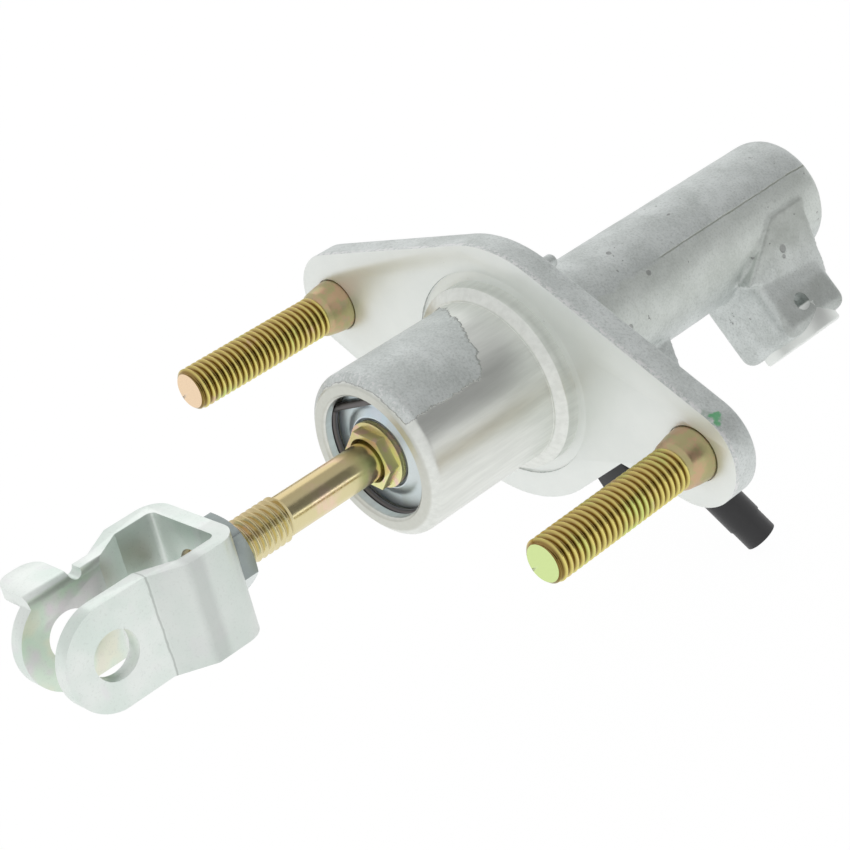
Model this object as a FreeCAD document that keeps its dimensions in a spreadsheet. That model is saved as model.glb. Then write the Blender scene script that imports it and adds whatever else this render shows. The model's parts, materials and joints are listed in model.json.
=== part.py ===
import FreeCAD, Part
import math
import os
import re

import Sketcher

# Clutch master cylinder, hydraulic, for a bulkhead with two stud holes.
# Frame: X runs along the line of the two studs, Y along the cylinder from the
# pedal end (-Y) to the closed end (+Y), Z is up. The origin is the point where
# the cylinder axis crosses the face of the flange that meets the bulkhead.
# All sizes are in millimetres and all angles in degrees.

doc = FreeCAD.newDocument("ClutchMasterCylinder")
sizes = doc.addObject("Spreadsheet::Sheet", "Sizes")

DRIVING_SIZES = {
    # Bore and barrel
    "bore_radius": 7.94,
    "running_gap": 0.04,
    "bore_end": 66.0,
    "mouth": -31.3,
    "barrel_radius": 15.0,
    "barrel_rim_round": 2.5,
    "shoulder_radius": 17.2,
    "shoulder_front": -2.1,
    "shoulder_slope_radius": 15.4,
    "shoulder_slope_front": -3.3,
    "rear_radius": 11.6,
    "rear_end": 77.0,
    "rear_round": 2.0,
    "mouth_radius": 11.2,
    "mouth_chamfer": 0.6,
    "plate_seat": -26.9,
    "ring_groove_radius": 12.3,
    "ring_groove_front": -29.4,
    "ring_groove_back": -27.9,
    # Flange
    "flange_thick": 5.6,
    "flange_bulge_radius": 24.0,
    "lobe_radius": 9.5,
    "lobe_reach": 41.0,
    "lobe_drop": 0.7,
    "notch_out": 26.2,
    "notch_down": 8.2,
    "relief_radius": 19.2,
    "relief_depth": 0.4,
    "flange_edge_round": 0.7,
    # Studs, thread M8 x 1.25
    "stud_spacing": 83.54,
    "stud_thread_radius": 3.95,
    "stud_reach": 35.4,
    "stud_chamfer": 0.9,
    "stud_shank_start": 5.6,
    "stud_shank_radius": 4.35,
    "stud_shank_place": 4.4,
    "stud_flare_radius": 4.75,
    "stud_flare_place": 2.2,
    "stud_collar_radius": 4.9,
    "stud_collar_height": 0.6,
    "stud_neck_radius": 4.7,
    "stud_seat_radius": 5.05,
    "stud_seat_depth": 0.4,
    "stud_press_radius": 4.5,
    # Outlet boss
    "port_angle": 45.0,
    "boss_half_root": 9.8,
    "boss_half_tip": 8.0,
    "boss_root": 5.0,
    "boss_reach": 24.4,
    "boss_front_root": 48.6,
    "boss_front_tip": 51.6,
    "boss_back_root": 71.4,
    "boss_back_tip": 69.0,
    "boss_edge_round": 2.2,
    "outlet_place": 60.5,
    "outlet_land_radius": 8.0,
    "outlet_land_height": 1.6,
    "outlet_land_chamfer": 0.6,
    "outlet_radius": 5.0,
    "outlet_depth": 12.0,
    "outlet_drill_radius": 1.5,
    "outlet_pin_radius": 1.75,
    "outlet_pin_reach": 19.5,
    "outlet_pin_place": 58.5,
    # Inlet boss and connector
    "inlet_angle": 50.0,
    "inlet_place": 14.7,
    "inlet_boss_radius": 8.0,
    "inlet_boss_reach": 17.0,
    "inlet_pocket_radius": 5.2,
    "inlet_pocket_floor": 9.2,
    "feed_hole_radius": 1.2,
    "feed_hole_place": 10.9,
    "bypass_hole_radius": 0.35,
    "bypass_hole_place": 19.3,
    "inlet_spigot_gap": 0.05,
    "inlet_spigot_floor": 10.4,
    "inlet_foot_thick": 7.4,
    "inlet_foot_half_width": 7.8,
    "inlet_foot_front": 6.0,
    "inlet_foot_back": 6.5,
    "inlet_foot_round": 1.6,
    "spigot_bore_radius": 2.3,
    "nozzle_lean": 15.6,
    "nozzle_root_radius": 3.9,
    "nozzle_root_end": 27.6,
    "nozzle_radius": 3.15,
    "nozzle_bead_radius": 3.35,
    "nozzle_bore_radius": 2.0,
    "nozzle_bead": 47.2,
    "nozzle_length": 51.6,
    "inlet_seal_section": 0.9,
    "inlet_pin_radius": 1.25,
    "inlet_pin_offset": 5.0,
    "inlet_pin_reach": 14.2,
    "inlet_pin_length": 15.0,
    # Stopper plate and snap ring
    "plate_radius": 11.1,
    "plate_thick": 1.0,
    "plate_flat_radius": 8.2,
    "plate_hole_radius": 6.35,
    "plate_dish": 1.3,
    "plate_gap": 0.03,
    "snap_wire_radius": 0.65,
    "snap_ring_radius": 11.55,
    "snap_flat_offset": 8.9,
    "snap_flat_angle": 117.0,
    "snap_corner_round": 1.6,
    # Piston
    "piston_nose_radius": 5.95,
    "piston_nose_front": -28.95,
    "socket_radius": 5.3,
    "socket_groove_radius": 5.75,
    "socket_groove_front": -26.5,
    "socket_groove_back": -25.2,
    "piston_front_land_back": -21.0,
    "secondary_groove_back": -17.6,
    "secondary_groove_radius": 5.6,
    "piston_waist_front": -15.4,
    "piston_waist_radius": 5.4,
    "piston_waist_back": 12.2,
    "piston_head": 14.4,
    "piston_spigot_radius": 4.0,
    "piston_spigot_end": 19.4,
    "cup_washer_thick": 0.5,
    "primary_cup_length": 3.6,
    "cup_wall": 1.1,
    "secondary_cup_heel": 1.2,
    "primary_cup_heel": 1.5,
    "cup_gap": 0.1,
    "spring_seat_radius": 6.6,
    "spring_seat_thick": 0.8,
    "stroke": 28.0,
    # Spring
    "spring_wire_radius": 0.8,
    "spring_mean_radius": 5.6,
    "spring_turns": 8.0,
    # Pushrod and its collar
    "ball_place": -25.0,
    "ball_radius": 4.6,
    "ball_gap": 0.05,
    "rod_radius": 3.5,
    "rod_thread_radius": 3.95,
    "rod_thread_start": -51.4,
    "rod_thread_runout": 0.5,
    "rod_end": -67.4,
    "rod_chamfer": 0.8,
    "collar_flange_radius": 6.0,
    "collar_flange_front": -30.0,
    "collar_flange_back": -29.0,
    "collar_hex_front": -32.0,
    "collar_hex_flats": 9.4,
    "collar_hole_radius": 4.05,
    "collar_lip_radius": 5.7,
    "collar_lip_gap": 0.1,
    # Lock nut
    "nut_flats": 12.0,
    "nut_thick": 4.0,
    "nut_chamfer": 0.5,
    "nut_corner": 1.0,
    "nut_turn": 23.3,
    # Clevis
    "clevis_turn": -8.4,
    "clevis_sheet": 2.8,
    "clevis_half_wide": 10.9,
    "clevis_half_narrow": 7.2,
    "clevis_half_height": 8.8,
    "clevis_web_front": -68.4,
    "clevis_flare_back": -75.7,
    "clevis_flare_front": -81.7,
    "clevis_pin_place": -89.6,
    "clevis_pin_radius": 4.05,
    "clevis_ear_radius": 8.9,
    "clevis_web_round": 4.0,
    "clevis_tab_front": -94.6,
    "clevis_tab_back": -86.8,
    "clevis_tab_reach": 14.2,
    "clevis_tab_thick": 2.2,
    "clevis_tab_top": 9.3,
    "clevis_tab_round": 3.2,
    "clevis_tab_fold": 2.0,
    "clevis_relief_radius": 1.1,
}

for row, (alias, value) in enumerate(DRIVING_SIZES.items(), start=1):
    sizes.set("A" + str(row), alias)
    sizes.set("B" + str(row), str(value))
    sizes.setAlias("B" + str(row), alias)
doc.recompute()

ALONG_Y = FreeCAD.Rotation(FreeCAD.Vector(1, 0, 0), -90)
CLEAR = 1.0
NODES = []


def size(alias):
    """Return one driving dimension as a number."""
    return float(sizes.get(alias))


def named(expression):
    """Turn plain words such as 'bore_radius + running_gap' into sheet references."""
    def sheet_word(match):
        word = match.group()
        return "Sizes." + word if word in DRIVING_SIZES else word
    return re.sub("[a-z_]+", sheet_word, expression)


def worked_out(expression):
    """Return the number that a plain expression of driving dimensions stands for."""
    probe = doc.addObject("Part::Vertex", "Probe")
    probe.setExpression("X", named(expression))
    doc.recompute([probe])
    value = float(probe.X)
    doc.removeObject(probe.Name)
    return value


def cylinder(name, radius, length, place, rotation):
    """Add a round bar with its foot at place, turned from Z by rotation."""
    bar = doc.addObject("Part::Cylinder", name)
    bar.setExpression("Radius", named(radius))
    bar.setExpression("Height", named(length))
    bar.Placement = FreeCAD.Placement(FreeCAD.Vector(*place), rotation)
    return bar


def bar_along_y(name, radius, length, start, across="0"):
    """Add a round bar parallel to the cylinder axis."""
    bar = cylinder(name, radius, length, (0, 0, 0), ALONG_Y)
    bar.setExpression("Placement.Base.y", named(start))
    bar.setExpression("Placement.Base.x", named(across))
    return bar


def fused(name, pieces):
    """Join overlapping solids into one."""
    joined = doc.addObject("Part::MultiFuse", name)
    joined.Shapes = pieces
    joined.Refine = True
    return joined


def cut(name, base, tools):
    """Take several solids away from one."""
    tool = tools[0]
    if len(tools) > 1:
        tool = doc.addObject("Part::MultiFuse", name + "Tools")
        tool.Shapes = tools
    result = doc.addObject("Part::Cut", name)
    result.Base = base
    result.Tool = tool
    result.Refine = True
    return result


def rounded(name, base, chosen, radius):
    """Round the chosen edges of a finished solid."""
    doc.recompute()
    indices = [index for index, edge in enumerate(base.Shape.Edges, start=1) if chosen(edge)]
    if not indices:
        raise ValueError("no edge to round on " + name)
    result = doc.addObject("Part::Fillet", name)
    result.Base = base
    result.Edges = [(index, radius, radius) for index in indices]
    return result


def origin_plane(body, role):
    """Find one of a body's own origin planes."""
    return next(part for part in body.Origin.OriginFeatures if part.Role == role)


def new_sketch(body, name, role):
    """Add an empty sketch on an origin plane of its body."""
    sketch = body.newObject("Sketcher::SketchObject", name)
    sketch.AttachmentSupport = [(origin_plane(body, role), "")]
    sketch.MapMode = "FlatFace"
    return sketch


def pin_point(sketch, geometry, end, across, along):
    """Tie one end point of a sketch line to two driving dimensions."""
    for kind, expression in (("DistanceX", across), ("DistanceY", along)):
        value = worked_out(expression)
        index = sketch.addConstraint(Sketcher.Constraint(kind, -1, 1, geometry, end, value))
        sketch.setExpression("Constraints[" + str(index) + "]", named(expression))


def outline(sketch, corners):
    """Draw a closed outline through corners given as pairs of expressions."""
    points = [FreeCAD.Vector(worked_out(a), worked_out(b), 0) for a, b in corners]
    count = len(points)
    for index in range(count):
        sketch.addGeometry(Part.LineSegment(points[index], points[(index + 1) % count]), False)
    for index in range(count):
        sketch.addConstraint(Sketcher.Constraint("Coincident", index, 2, (index + 1) % count, 1))
    for index, (across, along) in enumerate(corners):
        pin_point(sketch, index, 1, across, along)


def turned(name, corners):
    """Turn a profile of (radius, place along Y) corners about the cylinder axis."""
    body = doc.addObject("PartDesign::Body", name)
    sketch = new_sketch(body, name + "Profile", "XY_Plane")
    outline(sketch, corners)
    turning = body.newObject("PartDesign::Revolution", name + "Turning")
    turning.Profile = sketch
    turning.ReferenceAxis = (sketch, ["V_Axis"])
    turning.Angle = 360.0
    body.Tip = turning
    return body


def node(item, label):
    """Keep a finished sub-part under the name of its file."""
    item.Label = label
    NODES.append(item)
    return item


def direction(angle):
    """Unit vector across the cylinder axis, the given angle below +X."""
    turn = math.radians(angle)
    return FreeCAD.Vector(math.cos(turn), 0, -math.sin(turn))


def turn_to(vector):
    """Rotation that brings +Z onto a direction."""
    return FreeCAD.Rotation(FreeCAD.Vector(0, 0, 1), vector)


def is_circle(edge, radius, place):
    """Tell whether an edge is a circle about the cylinder axis at a place along Y."""
    curve = edge.Curve
    if not isinstance(curve, Part.Circle):
        return False
    return abs(curve.Radius - radius) < 0.01 and abs(curve.Center.y - place) < 0.01


# Cast body: barrels
barrels = turned("Barrels", [
    ("0", "mouth"),
    ("barrel_radius", "mouth"),
    ("barrel_radius", "shoulder_slope_front"),
    ("shoulder_slope_radius", "shoulder_slope_front"),
    ("shoulder_radius", "shoulder_front"),
    ("shoulder_radius", "flange_thick"),
    ("rear_radius", "flange_thick"),
    ("rear_radius", "rear_end"),
    ("0", "rear_end"),
])
barrels_rim = rounded(
    "BarrelsRim", barrels,
    lambda edge: is_circle(edge, size("barrel_radius"), size("mouth")),
    size("barrel_rim_round"))
barrels_round = rounded(
    "BarrelsRound", barrels_rim,
    lambda edge: is_circle(edge, size("rear_radius"), size("rear_end")),
    size("rear_round"))


# Cast body: flange, a diamond with round lobes and a notch at the lower right
def tangent_point(center, radius, normal):
    """Point of a circle whose outward normal has the given angle."""
    turn = math.radians(normal)
    return center + FreeCAD.Vector(radius * math.cos(turn), radius * math.sin(turn), 0)


def flange_outline():
    """Flange outline as a wire in the plane of the face, clockwise from the top."""
    bulge = size("flange_bulge_radius")
    lobe = size("lobe_radius")
    middle = FreeCAD.Vector(0, 0, 0)
    right = FreeCAD.Vector(size("lobe_reach"), -size("lobe_drop"), 0)
    left = -right
    spread = math.degrees(math.acos((bulge - lobe) / right.Length))
    tilt = math.degrees(math.atan2(right.y, right.x))
    notch = FreeCAD.Vector(size("notch_out"), -size("notch_down"), 0)
    notch_turn = math.degrees(math.atan2(notch.y, notch.x))
    bulge_end = notch_turn - math.degrees(math.acos(bulge / notch.Length))
    to_notch = notch - right
    lobe_end = (math.degrees(math.atan2(to_notch.y, to_notch.x))
                + math.degrees(math.acos(lobe / to_notch.Length))) % 360 - 360

    def arc(center, radius, start, end):
        middle_turn = (start + end) / 2
        points = [tangent_point(center, radius, turn) for turn in (start, middle_turn, end)]
        return Part.Arc(*points).toShape()

    def line(first, second):
        return Part.LineSegment(first, second).toShape()

    top_right = tilt + spread
    top_left = tilt + 180 - spread
    low_left = tilt + 180 + spread
    edges = [
        arc(middle, bulge, top_left, top_right),
        line(tangent_point(middle, bulge, top_right), tangent_point(right, lobe, top_right)),
        arc(right, lobe, top_right, lobe_end),
        line(tangent_point(right, lobe, lobe_end), notch),
        line(notch, tangent_point(middle, bulge, bulge_end)),
        arc(middle, bulge, bulge_end, low_left - 360),
        line(tangent_point(middle, bulge, low_left), tangent_point(left, lobe, low_left)),
        arc(left, lobe, low_left, top_left),
        line(tangent_point(left, lobe, top_left), tangent_point(middle, bulge, top_left)),
    ]
    return Part.Wire(edges)


flange_face = Part.Face(flange_outline())
flange_face.rotate(FreeCAD.Vector(0, 0, 0), FreeCAD.Vector(1, 0, 0), 90)
flange_blank = doc.addObject("Part::Feature", "FlangeBlank")
flange_blank.Shape = flange_face.extrude(FreeCAD.Vector(0, size("flange_thick"), 0))


def is_long_rim(edge):
    """Tell whether an edge runs round the flange in one of its two faces."""
    places = [vertex.Point.y for vertex in edge.Vertexes]
    flat = max(places) - min(places) < 0.01
    return flat and (abs(places[0]) < 0.01 or abs(places[0] - size("flange_thick")) < 0.01)


flange = rounded("Flange", flange_blank, is_long_rim, size("flange_edge_round"))

# Cast body: outlet boss with the draft of the casting, leaning below +X
outlet_way = direction(size("port_angle"))
boss_blank = doc.addObject("Part::Wedge", "OutletBossBlank")
for end, root, tip in (("min", "boss_front_root", "boss_front_tip"),
                       ("max", "boss_back_root", "boss_back_tip")):
    boss_blank.setExpression("X" + end, named(root))
    boss_blank.setExpression("X2" + end, named(tip))
    sign = "-1 * " if end == "min" else "1 * "
    boss_blank.setExpression("Z" + end, named(sign + "boss_half_root"))
    boss_blank.setExpression("Z2" + end, named(sign + "boss_half_tip"))
boss_blank.setExpression("Ymin", named("boss_root"))
boss_blank.setExpression("Ymax", named("boss_reach"))
boss_axes = FreeCAD.Rotation(FreeCAD.Vector(0, 1, 0), outlet_way,
                             FreeCAD.Vector(0, 1, 0).cross(outlet_way), "XYZ")
boss_blank.Placement = FreeCAD.Placement(FreeCAD.Vector(0, 0, 0), boss_axes)


def is_boss_edge(edge):
    """Tell whether an edge of the boss block lies away from the barrel."""
    reach = [vertex.Point.dot(outlet_way) for vertex in edge.Vertexes]
    return max(reach) > size("boss_root") + CLEAR


outlet_boss = rounded("OutletBoss", boss_blank, is_boss_edge, size("boss_edge_round"))


def across_bar(name, radius, length, way, start, place):
    """Add a round bar that stands on the cylinder axis and points along way."""
    foot = way * start + FreeCAD.Vector(0, place, 0)
    return cylinder(name, radius, length, tuple(foot), turn_to(way))


outlet_land_bar = across_bar("OutletLandBar", "outlet_land_radius",
                             "boss_reach + outlet_land_height - boss_root",
                             outlet_way, size("boss_root"), size("outlet_place"))


def is_land_rim(edge):
    """Tell whether an edge is the outer rim of the round land on the outlet boss."""
    curve = edge.Curve
    reach = size("boss_reach") + size("outlet_land_height")
    return isinstance(curve, Part.Circle) and abs(curve.Center.dot(outlet_way) - reach) < 0.01


outlet_land = rounded("OutletLand", outlet_land_bar, is_land_rim, size("outlet_land_chamfer"))
inlet_way = direction(size("inlet_angle"))
inlet_boss = across_bar("InletBoss", "inlet_boss_radius", "inlet_boss_reach",
                        inlet_way, 0.0, size("inlet_place"))
casting = fused("Casting", [barrels_round, flange, outlet_boss, outlet_land, inlet_boss])

# Cast body: what is cut out of it
bore = turned("Bore", [
    ("0", "mouth - 1"),
    ("mouth_radius + mouth_chamfer", "mouth - 1"),
    ("mouth_radius + mouth_chamfer", "mouth"),
    ("mouth_radius", "mouth + mouth_chamfer"),
    ("mouth_radius", "ring_groove_front"),
    ("ring_groove_radius", "ring_groove_front"),
    ("ring_groove_radius", "ring_groove_back"),
    ("mouth_radius", "ring_groove_back"),
    ("mouth_radius", "plate_seat"),
    ("bore_radius", "plate_seat"),
    ("bore_radius", "bore_end"),
    ("0", "bore_end"),
])
relief = cut("Relief",
             bar_along_y("ReliefDisc", "relief_radius", "relief_depth + 5", "-5"),
             [bar_along_y("ReliefCore", "shoulder_radius", "relief_depth + 5", "-5")])
stud_holes = [
    bar_along_y("StudHole" + side, "stud_press_radius", "flange_thick + 2", "-1",
                sign + "stud_spacing / 2")
    for side, sign in (("Left", "-1 * "), ("Right", "1 * "))
]
stud_seats = [
    bar_along_y("StudSeat" + side, "stud_seat_radius", "stud_seat_depth + 1", "-1",
                sign + "stud_spacing / 2")
    for side, sign in (("Left", "-1 * "), ("Right", "1 * "))
]
outlet_bore = across_bar("OutletBore", "outlet_radius", "outlet_depth + 1", outlet_way,
                         size("boss_reach") + size("outlet_land_height") - size("outlet_depth"),
                         size("outlet_place"))
outlet_drill = across_bar("OutletDrill", "outlet_drill_radius", "boss_reach",
                          outlet_way, 0.0, size("outlet_place"))
pin_way = FreeCAD.Vector(0, 1, 0).cross(outlet_way)
pin_foot = outlet_way * size("outlet_pin_reach") + FreeCAD.Vector(0, size("outlet_pin_place"), 0)
pin_foot -= pin_way * (size("boss_half_root") + CLEAR)
outlet_pin_hole = cylinder("OutletPinHole", "outlet_pin_radius", "2 * boss_half_root + 2",
                           tuple(pin_foot), turn_to(pin_way))
inlet_pocket = across_bar("InletPocket", "inlet_pocket_radius",
                          "inlet_boss_reach - inlet_pocket_floor + 1",
                          inlet_way, size("inlet_pocket_floor"), size("inlet_place"))
feed_hole = across_bar("FeedHole", "feed_hole_radius", "inlet_pocket_floor + 1",
                       inlet_way, 0.0, size("feed_hole_place"))
bypass_hole = across_bar("BypassHole", "bypass_hole_radius", "inlet_pocket_floor + 1",
                         inlet_way, 0.0, size("bypass_hole_place"))
inlet_side = FreeCAD.Vector(0, 1, 0).cross(inlet_way)
inlet_pin_foot = inlet_way * size("inlet_pin_reach")
inlet_pin_foot += FreeCAD.Vector(0, size("inlet_place") + size("inlet_pin_offset"), 0)
inlet_pin_foot -= inlet_side * (size("inlet_pin_length") / 2)
inlet_pin_hole = cylinder("InletPinHole", "inlet_pin_radius", "inlet_pin_length + 4",
                          tuple(inlet_pin_foot - inlet_side * 2), turn_to(inlet_side))
cast_body = cut("CastBody", casting, [bore, relief, outlet_bore, outlet_drill, outlet_pin_hole,
                                      inlet_pocket, feed_hole, bypass_hole, inlet_pin_hole]
                + stud_holes + stud_seats)
node(cast_body, "cylinder_body")

# Studs
for side, sign in (("left", "-1 * "), ("right", "1 * ")):
    stud = turned("Stud" + side.title(), [
        ("0", "-1 * stud_reach"),
        ("stud_thread_radius - stud_chamfer", "-1 * stud_reach"),
        ("stud_thread_radius", "-1 * stud_reach + stud_chamfer"),
        ("stud_thread_radius", "-1 * stud_shank_start"),
        ("stud_shank_radius", "-1 * stud_shank_place"),
        ("stud_flare_radius", "-1 * stud_flare_place"),
        ("stud_collar_radius", "-1 * stud_collar_height"),
        ("stud_collar_radius", "0"),
        ("stud_neck_radius", "0"),
        ("stud_neck_radius", "stud_seat_depth"),
        ("stud_press_radius", "stud_seat_depth"),
        ("stud_press_radius", "flange_thick"),
        ("0", "flange_thick"),
    ])
    stud.setExpression("Placement.Base.x", named(sign + "stud_spacing / 2"))
    node(stud, "mounting_stud_" + side)

# Stopper plate: flat rim under the snap ring, dished towards the mouth inside it
node(turned("StopperPlate", [
    ("plate_hole_radius", "plate_seat - plate_thick - plate_dish"),
    ("plate_flat_radius", "plate_seat - plate_thick"),
    ("plate_radius", "plate_seat - plate_thick"),
    ("plate_radius", "plate_seat"),
    ("plate_flat_radius", "plate_seat"),
    ("plate_hole_radius", "plate_seat - plate_dish"),
]), "stopper_plate")


# Snap ring, round wire along the groove with one straight chord
chord_half = math.acos(size("snap_flat_offset") / size("snap_ring_radius"))
chord_turn = math.radians(size("snap_flat_angle"))
ring_ends = [
    FreeCAD.Vector(math.cos(chord_turn + side * chord_half), 0,
                   math.sin(chord_turn + side * chord_half)) * size("snap_ring_radius")
    for side in (-1, 1)
]
ring_arc = doc.addObject("Part::Torus", "RingArc")
ring_arc.setExpression("Radius1", named("snap_ring_radius"))
ring_arc.setExpression("Radius2", named("snap_wire_radius"))
ring_arc.Angle3 = 360 - 2 * math.degrees(chord_half)
ring_axes = FreeCAD.Rotation(ring_ends[0], FreeCAD.Vector(0, 0, 0), FreeCAD.Vector(0, 1, 0), "XZY")
ring_arc.Placement = FreeCAD.Placement(FreeCAD.Vector(0, 0, 0), ring_axes)
ring_chord = cylinder("RingChord", "snap_wire_radius", "2 * snap_wire_radius", tuple(ring_ends[0]),
                      turn_to(ring_ends[1] - ring_ends[0]))
ring_chord.setExpression("Height", named("2 * sqrt(snap_ring_radius ^ 2 - snap_flat_offset ^ 2)"))
ring_corners = []
for corner, spot in zip(("First", "Second"), ring_ends):
    bend = doc.addObject("Part::Sphere", "RingBend" + corner)
    bend.setExpression("Radius", named("snap_wire_radius"))
    bend.Placement.Base = spot
    ring_corners.append(bend)
snap_ring = fused("SnapRing", [ring_arc, ring_chord] + ring_corners)
snap_ring.setExpression("Placement.Base.y", named("plate_seat - plate_thick - snap_wire_radius"))
node(snap_ring, "snap_ring")

# Piston: socket for the ball at the pedal end, two seal seats, waist between
dish_slope = "plate_dish / (plate_flat_radius - plate_hole_radius)"
land = "bore_radius - running_gap"
land_front = "plate_seat + plate_gap - (plate_flat_radius - bore_radius) * " + dish_slope
nose_front = "plate_seat + plate_gap - (plate_flat_radius - piston_nose_radius) * " + dish_slope
piston_blank = turned("PistonBlank", [
    ("0", "piston_nose_front"),
    ("piston_nose_radius", "piston_nose_front"),
    ("piston_nose_radius", nose_front),
    (land, land_front),
    (land, "piston_front_land_back"),
    ("secondary_groove_radius", "piston_front_land_back"),
    ("secondary_groove_radius", "secondary_groove_back"),
    (land, "secondary_groove_back"),
    (land, "piston_waist_front"),
    ("piston_waist_radius", "piston_waist_front"),
    ("piston_waist_radius", "piston_waist_back"),
    (land, "piston_waist_back"),
    (land, "piston_head"),
    ("piston_spigot_radius", "piston_head"),
    ("piston_spigot_radius", "piston_spigot_end"),
    ("0", "piston_spigot_end"),
])
socket = turned("Socket", [
    ("0", "piston_nose_front - 1"),
    ("socket_radius", "piston_nose_front - 1"),
    ("socket_radius", "socket_groove_front"),
    ("socket_groove_radius", "socket_groove_front"),
    ("socket_groove_radius", "socket_groove_back"),
    ("ball_radius + ball_gap", "socket_groove_back"),
    ("ball_radius + ball_gap", "ball_place"),
    ("0", "ball_place"),
])
ball_seat = doc.addObject("Part::Sphere", "BallSeat")
ball_seat.setExpression("Radius", named("ball_radius + ball_gap"))
ball_seat.setExpression("Placement.Base.y", named("ball_place"))
node(cut("Piston", piston_blank, [socket, ball_seat]), "piston")


def cup_profile(inner, back, front, lip_back):
    """Lip seal profile: solid heel at the front, two lips with a groove between."""
    return [
        (inner, front),
        (land, front),
        (land, lip_back),
        (land + " - cup_wall", lip_back),
        (land + " - cup_wall", back),
        (inner + " + cup_wall", back),
        (inner + " + cup_wall", lip_back),
        (inner, lip_back),
    ]


# Seals and washers on the piston
node(turned("SecondaryCup", cup_profile("secondary_groove_radius",
                                        "piston_front_land_back + cup_gap + secondary_cup_heel",
                                        "piston_front_land_back + cup_gap",
                                        "secondary_groove_back - cup_gap")), "secondary_cup")
node(turned("CupWasher", [
    ("piston_spigot_radius", "piston_head"),
    (land, "piston_head"),
    (land, "piston_head + cup_washer_thick"),
    ("piston_spigot_radius", "piston_head + cup_washer_thick"),
]), "cup_washer")
node(turned("PrimaryCup", cup_profile("piston_spigot_radius",
                                      "piston_head + cup_washer_thick + primary_cup_heel",
                                      "piston_head + cup_washer_thick",
                                      "piston_head + cup_washer_thick + primary_cup_length")),
     "primary_cup")
seat_front = "piston_head + cup_washer_thick + primary_cup_length"
node(turned("SpringSeat", [
    ("piston_spigot_radius", seat_front),
    ("spring_seat_radius", seat_front),
    ("spring_seat_radius", seat_front + " + spring_seat_thick"),
    ("piston_spigot_radius", seat_front + " + spring_seat_thick"),
]), "spring_seat")

# Return spring between the seat and the closed end of the bore
spring_start = worked_out(seat_front + " + spring_seat_thick + spring_wire_radius")
spring_length = size("bore_end") - size("spring_wire_radius") - spring_start
helix = Part.makeHelix(spring_length / size("spring_turns"), spring_length, size("spring_mean_radius"))
spring_section = Part.Wire(Part.makeCircle(size("spring_wire_radius"),
                                           FreeCAD.Vector(size("spring_mean_radius"), 0, 0),
                                           FreeCAD.Vector(0, 1, 0)))
spring_solid = Part.Wire(helix.Edges).makePipeShell([spring_section], True, True)
spring = doc.addObject("Part::Feature", "ReturnSpring")
spring.Shape = spring_solid
spring.Placement = FreeCAD.Placement(FreeCAD.Vector(0, spring_start, 0), ALONG_Y)
node(spring, "return_spring")

# Ball collar: hexagon and flange in front, spigot with a lip in the piston
collar_blank = turned("CollarBlank", [
    ("collar_hole_radius", "collar_flange_front - 0.01"),
    ("collar_flange_radius", "collar_flange_front"),
    ("collar_flange_radius", "collar_flange_back"),
    ("socket_radius - ball_gap", "collar_flange_back"),
    ("socket_radius - ball_gap", "socket_groove_front + collar_lip_gap"),
    ("collar_lip_radius", "socket_groove_front + collar_lip_gap"),
    ("collar_lip_radius", "socket_groove_back - collar_lip_gap"),
    ("collar_hole_radius", "socket_groove_back - collar_lip_gap"),
])
collar_hex = doc.addObject("Part::Prism", "CollarHex")
collar_hex.Polygon = 6
collar_hex.setExpression("Circumradius", named("collar_hex_flats / sqrt(3)"))
collar_hex.setExpression("Height", named("collar_flange_front - collar_hex_front"))
collar_hex.Placement = FreeCAD.Placement(FreeCAD.Vector(0, size("collar_hex_front"), 0), ALONG_Y)
collar_room = doc.addObject("Part::Sphere", "CollarRoom")
collar_room.setExpression("Radius", named("ball_radius + ball_gap"))
collar_room.setExpression("Placement.Base.y", named("ball_place"))
collar_hole = bar_along_y("CollarHole", "collar_hole_radius",
                          "collar_flange_back - collar_hex_front + 1", "collar_hex_front - 1")
node(cut("BallCollar", fused("CollarSolid", [collar_blank, collar_hex]),
         [collar_room, collar_hole]), "ball_collar")

# Pushrod: ball, shank and threaded end
rod_bar = turned("RodBar", [
    ("0", "rod_end"),
    ("rod_thread_radius - rod_chamfer", "rod_end"),
    ("rod_thread_radius", "rod_end + rod_chamfer"),
    ("rod_thread_radius", "rod_thread_start - rod_thread_runout"),
    ("rod_radius", "rod_thread_start"),
    ("rod_radius", "ball_place"),
    ("0", "ball_place"),
])
ball = doc.addObject("Part::Sphere", "Ball")
ball.setExpression("Radius", named("ball_radius"))
ball.setExpression("Placement.Base.y", named("ball_place"))
node(fused("Pushrod", [rod_bar, ball]), "pushrod")

# Lock nut against the clevis
nut_hex = doc.addObject("Part::Prism", "NutHex")
nut_hex.Polygon = 6
nut_hex.setExpression("Circumradius", named("nut_flats / sqrt(3)"))
nut_hex.setExpression("Height", named("nut_thick"))
nut_rotation = FreeCAD.Rotation(FreeCAD.Vector(0, 1, 0), -size("nut_turn") - 30).multiply(ALONG_Y)
nut_start = size("clevis_web_front") + size("clevis_sheet")
nut_hex.Placement = FreeCAD.Placement(FreeCAD.Vector(0, nut_start, 0), nut_rotation)
nut_chamfer = turned("NutChamfer", [
    ("0", "clevis_web_front + clevis_sheet"),
    ("nut_flats / 2", "clevis_web_front + clevis_sheet"),
    ("nut_flats / 2 + nut_corner", "clevis_web_front + clevis_sheet + nut_chamfer"),
    ("nut_flats / 2 + nut_corner", "clevis_web_front + clevis_sheet + nut_thick - nut_chamfer"),
    ("nut_flats / 2", "clevis_web_front + clevis_sheet + nut_thick"),
    ("0", "clevis_web_front + clevis_sheet + nut_thick"),
])
nut_common = doc.addObject("Part::MultiCommon", "NutCommon")
nut_common.Shapes = [nut_hex, nut_chamfer]
nut_hole = bar_along_y("NutHole", "rod_thread_radius", "nut_thick + 2",
                       "clevis_web_front + clevis_sheet - 1")
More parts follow.
